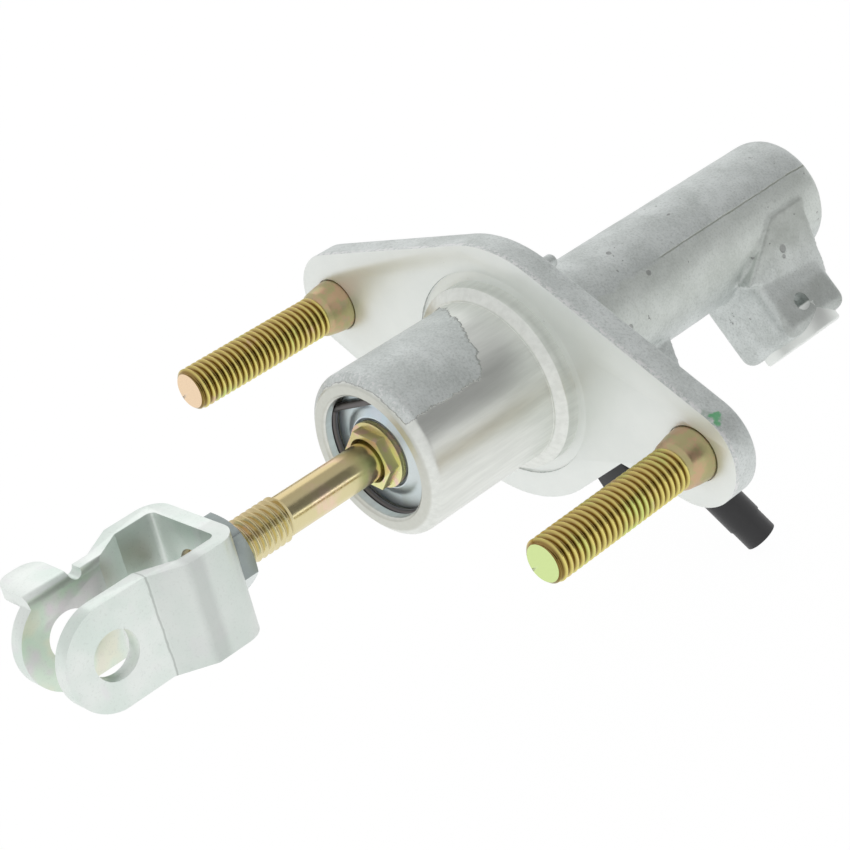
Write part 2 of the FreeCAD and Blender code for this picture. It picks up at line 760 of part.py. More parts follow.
node(cut("LockNut", nut_common, [nut_hole]), "lock_nut")

# Clevis: one strap folded round the web, drawn flat on the axis, then turned
tip = "clevis_pin_place - clevis_ear_radius - 1"
inner_wide = "clevis_half_wide - clevis_sheet"
inner_narrow = "clevis_half_narrow - clevis_sheet"
strap = doc.addObject("PartDesign::Body", "Strap")
strap_sketch = new_sketch(strap, "StrapOutline", "XY_Plane")
outer_side = [
    ("clevis_half_narrow", tip),
    ("clevis_half_narrow", "clevis_flare_front"),
    ("clevis_half_wide", "clevis_flare_back"),
    ("clevis_half_wide", "clevis_web_front + clevis_sheet"),
]
inner_side = [
    (inner_wide, "clevis_web_front"),
    (inner_wide, "clevis_flare_back"),
    (inner_narrow, "clevis_flare_front"),
    (inner_narrow, tip),
]
mirrored_outer = [("-1 * ( " + across + " )", along) for across, along in reversed(outer_side)]
mirrored_inner = [("-1 * ( " + across + " )", along) for across, along in reversed(inner_side)]
outline(strap_sketch, outer_side + mirrored_outer + mirrored_inner + inner_side)
strap_pad = strap.newObject("PartDesign::Pad", "StrapPad")
strap_pad.Profile = strap_sketch
strap_pad.SideType = "Symmetric"
strap_pad.setExpression("Length", named("2 * clevis_half_height"))
strap.Tip = strap_pad
doc.recompute()


def is_web_corner(edge):
    """Tell whether an edge is one of the two upright corners outside the web."""
    spots = [vertex.Point for vertex in edge.Vertexes]
    if len(spots) != 2 or abs(spots[0].z - spots[1].z) < CLEAR:
        return False
    web_back = size("clevis_web_front") + size("clevis_sheet")
    return (abs(abs(spots[0].x) - size("clevis_half_wide")) < 0.01
            and abs(spots[0].y - web_back) < 0.01)


def is_web_inside(edge):
    """Tell whether an edge is one of the two upright corners inside the web."""
    spots = [vertex.Point for vertex in edge.Vertexes]
    if len(spots) != 2 or abs(spots[0].z - spots[1].z) < CLEAR:
        return False
    return (abs(abs(spots[0].x) - size("clevis_half_wide") + size("clevis_sheet")) < 0.01
            and abs(spots[0].y - size("clevis_web_front")) < 0.01)


strap_outer = rounded("StrapOuter", strap, is_web_corner, size("clevis_web_round"))
strap_inner = rounded("StrapInner", strap_outer, is_web_inside,
                      size("clevis_web_round") - size("clevis_sheet"))
ear_round = cylinder("EarRound", "clevis_ear_radius", "2 * clevis_half_wide + 2",
                     (-size("clevis_half_wide") - CLEAR, size("clevis_pin_place"), 0),
                     turn_to(FreeCAD.Vector(1, 0, 0)))
ear_block = doc.addObject("Part::Box", "EarBlock")
ear_block.setExpression("Length", named("2 * clevis_half_wide + 2"))
ear_block.setExpression("Width", named("clevis_web_front + clevis_sheet + 1 - clevis_pin_place"))
ear_block.setExpression("Height", named("2 * clevis_half_height"))
ear_block.setExpression("Placement.Base.x", named("-1 * clevis_half_wide - 1"))
ear_block.setExpression("Placement.Base.y", named("clevis_pin_place"))
ear_block.setExpression("Placement.Base.z", named("-1 * clevis_half_height"))
side_shape = fused("SideShape", [ear_round, ear_block])
trimmed_strap = doc.addObject("Part::MultiCommon", "TrimmedStrap")
trimmed_strap.Shapes = [strap_inner, side_shape]

# Clevis: tab bent outwards from the top of the far ear
tab_riser = doc.addObject("Part::Box", "TabRiser")
tab_riser.setExpression("Length", named("clevis_sheet"))
tab_riser.setExpression("Width", named("clevis_tab_back - clevis_tab_front"))
tab_riser.setExpression("Height", named("clevis_tab_top - 4"))
tab_riser.setExpression("Placement.Base.x", named("-1 * clevis_half_narrow"))
tab_riser.setExpression("Placement.Base.y", named("clevis_tab_front"))
tab_riser.setExpression("Placement.Base.z", "4")
tab_leaf = doc.addObject("Part::Box", "TabLeaf")
tab_leaf.setExpression("Length", named("clevis_tab_reach - clevis_half_narrow + clevis_sheet"))
tab_leaf.setExpression("Width", named("clevis_tab_back - clevis_tab_front"))
tab_leaf.setExpression("Height", named("clevis_tab_thick"))
tab_leaf.setExpression("Placement.Base.x", named("-1 * clevis_tab_reach"))
tab_leaf.setExpression("Placement.Base.y", named("clevis_tab_front"))
tab_leaf.setExpression("Placement.Base.z", named("clevis_tab_top - clevis_tab_thick"))


def is_tab_end(edge):
    """Tell whether an edge is an upright corner at the free end of the tab."""
    spots = [vertex.Point for vertex in edge.Vertexes]
    upright = abs(spots[0].z - spots[1].z) > CLEAR
    return upright and spots[0].x < -size("clevis_tab_reach") + 0.01


tab_rounded = rounded("TabRounded", tab_leaf, is_tab_end, size("clevis_tab_round"))
clevis_solid = fused("ClevisSolid", [trimmed_strap, tab_riser, tab_rounded])


def is_tab_fold(edge):
    """Tell whether an edge is the outside of the fold between ear and tab."""
    spots = [vertex.Point for vertex in edge.Vertexes]
    if len(spots) != 2:
        return False
    inner = -size("clevis_half_narrow") + size("clevis_sheet")
    return all(abs(spot.x - inner) < 0.01 and abs(spot.z - size("clevis_tab_top")) < 0.01
               for spot in spots)


clevis_folded = rounded("ClevisFolded", clevis_solid, is_tab_fold, size("clevis_tab_fold"))
clevis_pin_hole = cylinder("ClevisPinHole", "clevis_pin_radius", "2 * clevis_half_wide + 2",
                           (-size("clevis_half_wide") - CLEAR, size("clevis_pin_place"), 0),
                           turn_to(FreeCAD.Vector(1, 0, 0)))
clevis_rod_hole = bar_along_y("ClevisRodHole", "rod_thread_radius", "clevis_sheet + 2",
                              "clevis_web_front - 1")
clevis_relief = cylinder("ClevisRelief", "clevis_relief_radius", "clevis_half_wide - clevis_half_narrow"
                         " + clevis_sheet + 1",
                         (-size("clevis_half_wide") - CLEAR,
                          size("clevis_tab_back") + size("clevis_relief_radius"),
                          size("clevis_half_height")),
                         turn_to(FreeCAD.Vector(1, 0, 0)))
clevis = cut("Clevis", clevis_folded, [clevis_pin_hole, clevis_rod_hole, clevis_relief])
clevis.Placement = FreeCAD.Placement(
    FreeCAD.Vector(0, 0, 0), FreeCAD.Rotation(FreeCAD.Vector(0, 1, 0), size("clevis_turn")))
node(clevis, "clevis")

# Inlet connector: spigot with seal, foot, and nozzle leaning to the closed end
spigot = across_bar("InletSpigot", "inlet_pocket_radius - inlet_spigot_gap",
                    "inlet_boss_reach - inlet_spigot_floor", inlet_way,
                    size("inlet_spigot_floor"), size("inlet_place"))
foot = doc.addObject("Part::Box", "InletFoot")
foot.setExpression("Length", named("inlet_foot_front + inlet_foot_back"))
foot.setExpression("Width", named("inlet_foot_thick"))
foot.setExpression("Height", named("2 * inlet_foot_half_width"))
foot_axes = FreeCAD.Rotation(FreeCAD.Vector(0, 1, 0), inlet_way,
                             FreeCAD.Vector(0, 1, 0).cross(inlet_way), "XYZ")
foot_corner = inlet_way * size("inlet_boss_reach")
foot_corner += FreeCAD.Vector(0, size("inlet_place") - size("inlet_foot_front"), 0)
foot_corner -= inlet_side * size("inlet_foot_half_width")
foot.Placement = FreeCAD.Placement(foot_corner, foot_axes)


def is_foot_edge(edge):
    """Tell whether an edge of the foot lies away from the cast boss."""
    reach = [vertex.Point.dot(inlet_way) for vertex in edge.Vertexes]
    return max(reach) > size("inlet_boss_reach") + CLEAR


foot_round = rounded("InletFootRound", foot, is_foot_edge, size("inlet_foot_round"))
lean = math.radians(size("nozzle_lean"))
nozzle_way = inlet_way * math.cos(lean) + FreeCAD.Vector(0, math.sin(lean), 0)
nozzle_root = FreeCAD.Vector(0, size("inlet_place"), 0)
nozzle_foot = size("inlet_boss_reach") + size("inlet_foot_thick") / 2


def nozzle_bar(name, radius, start, end):
    """Add a round bar along the nozzle axis between two distances from the cylinder axis."""
    bar = doc.addObject("Part::Cylinder", name)
    bar.setExpression("Radius", named(radius))
    bar.Height = end - start
    bar.Placement = FreeCAD.Placement(nozzle_root + nozzle_way * start, turn_to(nozzle_way))
    return bar


nozzle_tube = nozzle_bar("NozzleTube", "nozzle_radius", nozzle_foot, size("nozzle_length"))
nozzle_bead = nozzle_bar("NozzleBead", "nozzle_bead_radius", nozzle_foot, size("nozzle_bead"))
nozzle_stop = nozzle_bar("NozzleStop", "nozzle_root_radius", nozzle_foot, size("nozzle_root_end"))
connector_solid = fused("ConnectorSolid",
                        [spigot, foot_round, nozzle_tube, nozzle_bead, nozzle_stop])
nozzle_bore = nozzle_bar("NozzleBore", "nozzle_bore_radius", nozzle_foot,
                         size("nozzle_length") + CLEAR)
spigot_bore = across_bar("SpigotBore", "spigot_bore_radius",
                         "inlet_boss_reach + inlet_foot_thick / 2 - inlet_spigot_floor + 2",
                         inlet_way, size("inlet_spigot_floor") - CLEAR, size("inlet_place"))
seal_groove = doc.addObject("Part::Torus", "SealGroove")
seal_groove.setExpression("Radius1", named("inlet_pocket_radius - inlet_seal_section"))
seal_groove.setExpression("Radius2", named("inlet_seal_section + 0.02"))
seal_place = size("inlet_spigot_floor") + 2 * size("inlet_seal_section")
seal_center = inlet_way * seal_place + FreeCAD.Vector(0, size("inlet_place"), 0)
seal_groove.Placement = FreeCAD.Placement(seal_center, turn_to(inlet_way))
connector_pin_hole = cylinder("ConnectorPinHole", "inlet_pin_radius", "inlet_pin_length + 4",
                              tuple(inlet_pin_foot - inlet_side * 2), turn_to(inlet_side))
node(cut("Connector", connector_solid, [nozzle_bore, spigot_bore, seal_groove, connector_pin_hole]),
     "inlet_connector")
seal = doc.addObject("Part::Torus", "InletSeal")
seal.setExpression("Radius1", named("inlet_pocket_radius - inlet_seal_section"))
seal.setExpression("Radius2", named("inlet_seal_section"))
seal.Placement = FreeCAD.Placement(seal_center, turn_to(inlet_way))
node(seal, "inlet_seal")
roll_pin_bar = cylinder("RollPinBar", "inlet_pin_radius", "inlet_pin_length",
                        tuple(inlet_pin_foot), turn_to(inlet_side))
roll_pin_bore = cylinder("RollPinBore", "inlet_pin_radius / 2", "inlet_pin_length + 2",
                         tuple(inlet_pin_foot - inlet_side), turn_to(inlet_side))
node(cut("RollPin", roll_pin_bar, [roll_pin_bore]), "inlet_roll_pin")

doc.recompute()


def check(items):
    """Stop if anything in the document failed or a sub-part has no sound shape."""
    for item in doc.Objects:
        if "Invalid" in item.State or "Error" in item.State:
            raise RuntimeError("failed: " + item.Name + " " + str(item.State))
    for item in items:
        shape = item.Shape
        if shape.isNull() or not shape.isValid() or shape.Volume <= 0:
            raise RuntimeError("no sound shape: " + item.Label)


check(NODES)
os.makedirs("parts", exist_ok=True)
for item in NODES:
    item.Shape.exportStep("parts/" + item.Label + ".step")
    box = item.Shape.BoundBox
    print(item.Label, "solids", len(item.Shape.Solids), "volume", round(item.Shape.Volume, 1),
          "box", [round(v, 1) for v in (box.XMin, box.YMin, box.ZMin, box.XMax, box.YMax, box.ZMax)])
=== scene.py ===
"""Clutch master cylinder on white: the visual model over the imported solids.

Frame: X along the line of the studs, Y along the cylinder towards its closed
end, Z up, origin on the axis in the flange face. Sizes are in millimetres
until a mesh is made, and every mesh is in metres.
"""

import json
import logging
import math
from dataclasses import dataclass
from enum import Enum

import bpy
from mathutils import Matrix, Vector

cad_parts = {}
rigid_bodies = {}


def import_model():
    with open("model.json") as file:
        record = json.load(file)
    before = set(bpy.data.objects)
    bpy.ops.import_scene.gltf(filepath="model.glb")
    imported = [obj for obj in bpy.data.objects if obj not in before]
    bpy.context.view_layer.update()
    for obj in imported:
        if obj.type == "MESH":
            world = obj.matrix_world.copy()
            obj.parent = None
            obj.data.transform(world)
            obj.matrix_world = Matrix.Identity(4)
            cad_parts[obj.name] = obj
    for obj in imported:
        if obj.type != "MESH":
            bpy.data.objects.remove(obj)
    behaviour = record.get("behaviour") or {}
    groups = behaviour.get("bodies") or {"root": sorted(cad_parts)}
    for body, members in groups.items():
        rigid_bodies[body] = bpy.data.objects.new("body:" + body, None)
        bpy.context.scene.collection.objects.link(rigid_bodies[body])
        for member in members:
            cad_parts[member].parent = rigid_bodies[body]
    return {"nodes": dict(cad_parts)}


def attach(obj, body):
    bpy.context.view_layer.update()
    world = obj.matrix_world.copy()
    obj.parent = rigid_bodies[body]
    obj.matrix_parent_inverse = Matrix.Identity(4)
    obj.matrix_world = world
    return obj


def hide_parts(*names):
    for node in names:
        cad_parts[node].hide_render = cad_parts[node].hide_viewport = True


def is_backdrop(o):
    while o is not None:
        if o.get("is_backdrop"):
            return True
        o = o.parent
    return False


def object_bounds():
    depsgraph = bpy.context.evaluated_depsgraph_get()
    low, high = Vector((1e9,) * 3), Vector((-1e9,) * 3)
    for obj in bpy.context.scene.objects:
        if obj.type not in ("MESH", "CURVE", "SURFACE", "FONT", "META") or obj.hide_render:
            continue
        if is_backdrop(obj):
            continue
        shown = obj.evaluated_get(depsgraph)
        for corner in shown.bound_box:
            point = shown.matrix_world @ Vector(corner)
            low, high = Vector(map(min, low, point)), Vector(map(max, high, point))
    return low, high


Piece = bpy.types.Object
Nodes = dict[str, bpy.types.Object]
Colour = tuple[float, float, float, float]
Point = tuple[float, float, float]
Profile = list[tuple[float, float]]

LOG = logging.getLogger("clutch_master_cylinder")
MM = 0.001
MERGE = 0.001 * MM
ALONG = Vector((0.0, 1.0, 0.0))
STUD_PLACE = 41.77
OUTLET_TURN = 45.0
INLET_TURN = 50.0
CAMERA_PLACE = (0.226486, -0.213220, 0.194181)
CAMERA_RIGHT = (0.702931, 0.701598, -0.116823)
CAMERA_DOWN = (0.319120, -0.457889, -0.829759)
CAMERA_AHEAD = (-0.635650, 0.545983, -0.545758)
CAMERA_LENS = 90.639


class Body(Enum):
    """The moving bodies that a piece can ride on."""

    HOUSING = "housing"
    COLLAR = "collar"
    ROD = "rod"


class Slot(Enum):
    """The record's material slots, passed along with each new piece."""

    CAST = "cast_aluminium"
    PLATED = "plated_steel"
    ZINC = "zinc_steel"
    SPRING = "spring_steel"
    NYLON = "black_nylon"


def across(degrees: float) -> Vector:
    """Return the direction across the cylinder axis, that many degrees below +X."""
    turn = math.radians(degrees)
    return Vector((math.cos(turn), 0.0, -math.sin(turn)))


def grey(level: float) -> Colour:
    """Return a grey of that brightness."""
    return (level, level, level, 1.0)


class Value:
    """What a node gives, so that a sum of masks is written as a sum."""

    def __init__(self, graph: "Graph", socket: bpy.types.NodeSocket) -> None:
        """Hold an output socket of a graph."""
        self.graph = graph
        self.socket = socket

    def __add__(self, other: object) -> "Value":
        """Return the sum."""
        return self.graph.math("ADD", self, other)

    def __sub__(self, other: object) -> "Value":
        """Return the difference."""
        return self.graph.math("SUBTRACT", self, other)

    def __rsub__(self, other: object) -> "Value":
        """Return what this leaves of a number."""
        return self.graph.math("SUBTRACT", other, self)

    def __mul__(self, other: object) -> "Value":
        """Return the product."""
        return self.graph.math("MULTIPLY", self, other)

    def __abs__(self) -> "Value":
        """Return the value without its sign."""
        return self.graph.math("ABSOLUTE", self)


class Graph:
    """A small builder for one node tree."""

    def __init__(self, tree: bpy.types.NodeTree) -> None:
        """Build in this tree."""
        self.tree = tree

    def add(self, kind: str, settings: dict[str, object] | None = None,
            **inputs: object) -> bpy.types.Node:
        """Add a node and feed its inputs.

        Args:
            kind: the node's type.
            settings: properties to set on the node.
            **inputs: values by input name.

        Returns:
            The new node.
        """
        node = self.tree.nodes.new(kind)
        for key, value in (settings or {}).items():
            setattr(node, key, value)
        for key, value in inputs.items():
            self.feed(node.inputs[key], value)
        return node

    def feed(self, socket: bpy.types.NodeSocket, value: object) -> None:
        """Link an input to a value or an output, or set its number or colour.

        Args:
            socket: the input.
            value: what it gets.
        """
        source = value.socket if isinstance(value, Value) else value
        if isinstance(source, bpy.types.NodeSocket):
            self.tree.links.new(source, socket)
        else:
            socket.default_value = source

    def run(self, kind: str, settings: dict[str, object], values: dict[int, object],
            result: int = 0) -> Value:
        """Add a node whose inputs go by number.

        Args:
            kind: the node's type.
            settings: properties to set on the node.
            values: what each input gets.
            result: number of the output.

        Returns:
            What the node gives.
        """
        node = self.add(kind, settings)
        for index, value in values.items():
            self.feed(node.inputs[index], value)
        return Value(self, node.outputs[result])

    def math(self, operation: str, first: object, second: object = 0.0) -> Value:
        """Return the result of an operation on one or two values."""
        return self.run("ShaderNodeMath", {"operation": operation}, {0: first, 1: second})

    def step(self, value: Value, low: float, high: float) -> Value:
        """Return 0 below low, 1 above high and a smooth change between.

        Args:
            value: the value that is compared.
            low: where the change starts.
            high: where it ends, which may be lower.

        Returns:
            The mask.
        """
        inputs = dict(enumerate((value, low, high, 0.0, 1.0)))
        return self.run("ShaderNodeMapRange", {"interpolation_type": "SMOOTHSTEP"}, inputs)

    def step_mm(self, value: Value, low: float, high: float) -> Value:
        """Return the same for a length, whose limits are in millimetres."""
        return self.step(value, low * MM, high * MM)

    def mix(self, factor: object, first: object, second: object) -> Value:
        """Return a colour between two, 0 for the first and 1 for the second."""
        values = {0: factor, 6: first, 7: second}
        return self.run("ShaderNodeMix", {"data_type": "RGBA"}, values, 2)

    def blend(self, factor: object, first: object, second: object) -> Value:
        """Return a number between two, 0 for the first and 1 for the second."""
        values = {0: factor, 2: first, 3: second}
        return self.run("ShaderNodeMix", {"data_type": "FLOAT"}, values)

    def layers(self, tone: object, *coats: tuple[object, object]) -> Value:
        """Lay coats over a tone, one after another.

        Args:
            tone: the lowest colour.
            *coats: how much of each coat shows, and its colour.

        Returns:
            The colour.
        """
        for share, colour in coats:
            tone = self.mix(share, tone, colour)
        return tone


class Skin(Graph):
    """The node tree of one material, which ends in one principled shader."""

    def __init__(self, name: str) -> None:
        """Start the material.

        Args:
            name: name of the material.
        """
        self.material = bpy.data.materials.new(name)
        self.material.use_nodes = True
        super().__init__(self.material.node_tree)
        self.shader = self.tree.nodes["Principled BSDF"]
        coords = self.add("ShaderNodeTexCoord").outputs
        self.place = coords["Object"]
        self.normal = coords["Normal"]
        self.x, self.y, self.z = self.split(self.place)

    def split(self, vector: bpy.types.NodeSocket) -> tuple[Value, ...]:
        """Return the three parts of a vector."""
        parts = self.add("ShaderNodeSeparateXYZ", Vector=vector).outputs
        return tuple(Value(self, part) for part in parts)

    def noise(self, grain_mm: float, detail: float = 2.0, roughness: float = 0.5,
              stretch: Point | None = None) -> Value:
        """Return a cloud pattern about 0.5.

        Args:
            grain_mm: size of its grains.
            detail: how many finer layers it has.
            roughness: weight of the finer layers.
            stretch: scale of the pattern along X, Y and Z.

        Returns:
            The pattern.
        """
        vector = self.place
        if stretch:
            vector = self.add("ShaderNodeMapping", Vector=vector, Scale=stretch).outputs[0]
        node = self.add("ShaderNodeTexNoise", Vector=vector, Scale=1.0 / (grain_mm * MM),
                        Detail=detail, Roughness=roughness)
        return Value(self, node.outputs[0])

    def bump(self, height: Value, depth_mm: float, under: Value | None = None) -> Value:
        """Return a normal roughened by a height.

        Args:
            height: pattern between 0 and 1.
            depth_mm: how deep the pattern goes.
            under: a normal that it is laid over.

        Returns:
            The normal.
        """
        node = self.add("ShaderNodeBump", Height=height, Distance=depth_mm * MM)
        if under:
            self.feed(node.inputs["Normal"], under)
        return Value(self, node.outputs[0])

    def around(self, axis_mm: float = 0.0) -> tuple[Value, Value]:
        """Return the distance from an axis along Y and the angle about it in radians."""
        aside = self.x - axis_mm * MM
        radius = self.math("SQRT", aside * aside + self.z * self.z)
        return radius, self.math("ARCTAN2", self.z, aside)

    def away(self, place: Vector) -> Value:
        """Return the distance in metres from a place in millimetres."""
        values = {0: self.place, 1: tuple(place * MM)}
        return self.run("ShaderNodeVectorMath", {"operation": "DISTANCE"}, values, 1)

    def set(self, **values: object) -> None:
        """Feed the shader's inputs, named with underscores for spaces."""
        for key, value in values.items():
            self.feed(self.shader.inputs[key.replace("_", " ")], value)


@dataclass(frozen=True)
class CastSkin:
    """Grey die cast aluminium with fine grain, soft lumps and the seam of the mould."""

    name: str = "cast_skin"
    light: Colour = (0.75, 0.785, 0.775, 1.0)
    dark: Colour = (0.60, 0.635, 0.62, 1.0)
    speck: Colour = (0.42, 0.45, 0.43, 1.0)
    pale_speck: Colour = (0.80, 0.83, 0.81, 1.0)
    lit_side: Colour = (0.66, 0.70, 0.62, 1.0)
    # painted shade on the top face of the outlet block
    top_face_shade: Colour = (0.34, 0.36, 0.33, 1.0)
    seam_dirt: Colour = (0.17, 0.18, 0.12, 1.0)
    pit: Colour = grey(0.22)
    roughness: float = 0.54
    metallic: float = 0.70
    seam_turn: float = 50.2
    seam_start: float = 26.0
    ridge_start: float = 66.8
    ridge_slope: float = 1.44

    def tone(self, graph: Skin) -> Value:
        """Return the faintly mottled colour of the skin.

        Args:
            graph: the material's nodes.

        Returns:
            The colour.
        """
        clouds = graph.noise(6.0, 5.0, 0.62)
        specks = graph.noise(0.42, 3.0, 0.65)
        return graph.layers(self.dark, (graph.step(clouds, 0.30, 0.70), self.light),
                            (graph.step(specks, 0.48, 0.70) * 0.42, self.speck),
                            (graph.step(specks, 0.48, 0.34) * 0.35, self.pale_speck))

    def relief(self, graph: Skin) -> Value:
        """Return the skin's normal."""
        lumps = graph.bump(graph.noise(2.6, 3.0, 0.6), 0.09)
        return graph.bump(graph.noise(0.55, 4.0, 0.75), 0.055, lumps)

    def seam(self, graph: Skin) -> Value:
        """Return a mask of the mould's broken seam along the upper side of the barrel.

        Args:
            graph: the material's nodes.

        Returns:
            The mask.
        """
        radius, angle = graph.around()
        wander = (graph.noise(5.0, 3.0) - 0.5) * 0.05
        off = abs(angle + wander - math.radians(self.seam_turn))
        line = 1.0 - graph.step(off, 0.004, 0.024)
        broken = line * graph.step(graph.noise(6.0, 2.0), 0.30, 0.50)
        behind = graph.step_mm(graph.y, self.seam_start, self.seam_start + 5.0)
        return broken * (behind * (1.0 - graph.step_mm(radius, 12.2, 12.5)))

    def below_seam(self, graph: Skin) -> Value:
        """Return a mask of the barrel's side between the seam and the outlet block.

        Args:
            graph: the material's nodes.

        Returns:
            The mask.
        """
        _, angle = graph.around()
        turn = angle + (graph.noise(4.0, 3.0, 0.6) - 0.5) * 0.3
        above_block = graph.step(turn, math.radians(-30.0), math.radians(10.0))
        return above_block * (1.0 - graph.step(turn, math.radians(46.0), math.radians(51.0)))

    def top_face(self, graph: Skin) -> Value:
        """Return a mask of the upper side of the outlet block, where shade is painted on the skin.

        Args:
            graph: the material's nodes.

        Returns:
            The mask.
        """
        half = math.sqrt(0.5)
        out = (graph.x - graph.z) * half
        aside = (graph.x + graph.z) * half
        ridge = self.ridge_start * MM - out * self.ridge_slope
        behind = graph.step_mm(graph.y - ridge, -0.1, 0.4)
        above = graph.step_mm(aside + out * 0.20, 11.2, 11.6)
        beyond = graph.step_mm(out, 3.4, 4.0) * graph.step_mm(graph.y, 71.2, 70.8)
        blotch = graph.blend(graph.step(graph.noise(3.2, 3.0, 0.6), 0.35, 0.65), 0.65, 1.0)
        return behind * above * (beyond * blotch)

    def sink_holes(self, graph: Skin) -> Value:
        """Return a mask of the few larger pits of the casting.

        Args:
            graph: the material's nodes.

        Returns:
            The mask.
        """
        outward = across(OUTLET_TURN)
        side = outward.cross(ALONG)
        places = [(outward * 9.6 + ALONG * 61.0 + side * 9.4, 0.75),
                  (outward * 11.0 + ALONG * 60.5 + side * 9.2, 0.42),
                  (outward * 13.2 + ALONG * 60.9 + side * 9.0, 0.35),
                  (Vector((8.3, 30.0, 8.1)), 0.55), (Vector((11.3, 21.0, 2.4)), 0.6),
                  (Vector((2.0, 27.0, 11.4)), 0.45)]
        found: Value | float = 0.0
        for place, reach in places:
            near = graph.step_mm(graph.away(place), reach * 1.25, reach * 0.8)
            found = graph.math("MAXIMUM", found, near)
        return found

    def build(self) -> bpy.types.Material:
        """Make the finished material.

        Returns:
            The material.
        """
        graph = Skin(self.name)
        seam = self.seam(graph)
        small_pits = graph.step(graph.noise(1.1), 0.72, 0.76)
        pits = graph.math("MAXIMUM", small_pits, self.sink_holes(graph))
        # the top face of the outlet block gets a painted shade
        tone = graph.layers(self.tone(graph), (self.below_seam(graph) * 0.30, self.lit_side),
                            (self.top_face(graph) * 0.42, self.top_face_shade),
                            (seam * 0.55, self.seam_dirt), (pits * 0.55, self.pit))
        level = 1.0 - (seam * 0.6 + pits)
        graph.set(Base_Color=tone, Metallic=self.metallic, Roughness=self.roughness,
                  Normal=graph.bump(level, 0.20, self.relief(graph)))
        return graph.material


@dataclass(frozen=True)
class FlangeBand:
    """Cast skin on the edge of the flange, chipped at its face, with green inspection paint."""

    name: str = "flange_band"
    skin: CastSkin = CastSkin()
    chip: Colour = grey(0.86)
    paint: Colour = (0.08, 0.42, 0.16, 1.0)
    paint_place: Point = (45.6, 1.5, 6.9)
    thin_paint: Colour = (0.25, 0.36, 0.28, 1.0)
    thin_place: Point = (44.6, 0.3, 7.6)

    def build(self) -> bpy.types.Material:
        """Make the finished material.

        Returns:
            The material.
        """
        graph = Skin(self.name)
        near_face = 1.0 - graph.step_mm(graph.y, 0.5, 1.3)
        chips = graph.step(graph.noise(0.75, 3.0, 0.6), 0.44, 0.54) * near_face
        dab = self.dab(graph, self.paint_place, 1.15)
        smear = self.dab(graph, self.thin_place, 1.5)
        tone = graph.layers(self.skin.tone(graph), (chips * 0.8, self.chip),
                            (smear * 0.4, self.thin_paint), (dab * 0.85, self.paint))
        graph.set(Base_Color=tone, Metallic=graph.blend(dab, self.skin.metallic, 0.0),
                  Roughness=self.skin.roughness,
                  Normal=graph.bump(chips, 0.06, self.skin.relief(graph)))
        return graph.material

    def dab(self, graph: Skin, place: Point, reach: float) -> Value:
        """Return a ragged round mask about a place, in millimetres."""
        far = graph.away(Vector(place)) + (graph.noise(1.2) - 0.5) * (2.2 * MM)
        return 1.0 - graph.step_mm(far, reach * 0.75, reach * 1.2)


@dataclass(frozen=True)
class MachinedFace:
    """Bright machined aluminium of the flange face."""

    name: str = "machined_face"
    bright: Colour = (0.89, 0.915, 0.885, 1.0)
    dull: Colour = (0.82, 0.85, 0.825, 1.0)
    speck: Colour = grey(0.35)
    roughness: float = 0.46
    metallic: float = 0.86

    def build(self) -> bpy.types.Material:
        """Make the finished material.

        Returns:
            The material.
        """
        graph = Skin(self.name)
        specks = graph.step(graph.noise(1.3), 0.745, 0.77)
        haze = graph.noise(0.5, 3.0, 0.7)
        tone = graph.layers(self.bright, (graph.noise(5.0, 4.0, 0.6), self.dull),
                            (specks * 0.35, self.speck))
        graph.set(Base_Color=tone, Metallic=self.metallic, Normal=graph.bump(haze, 0.014),
                  Roughness=graph.blend(haze, self.roughness - 0.06, self.roughness + 0.08))
        return graph.material


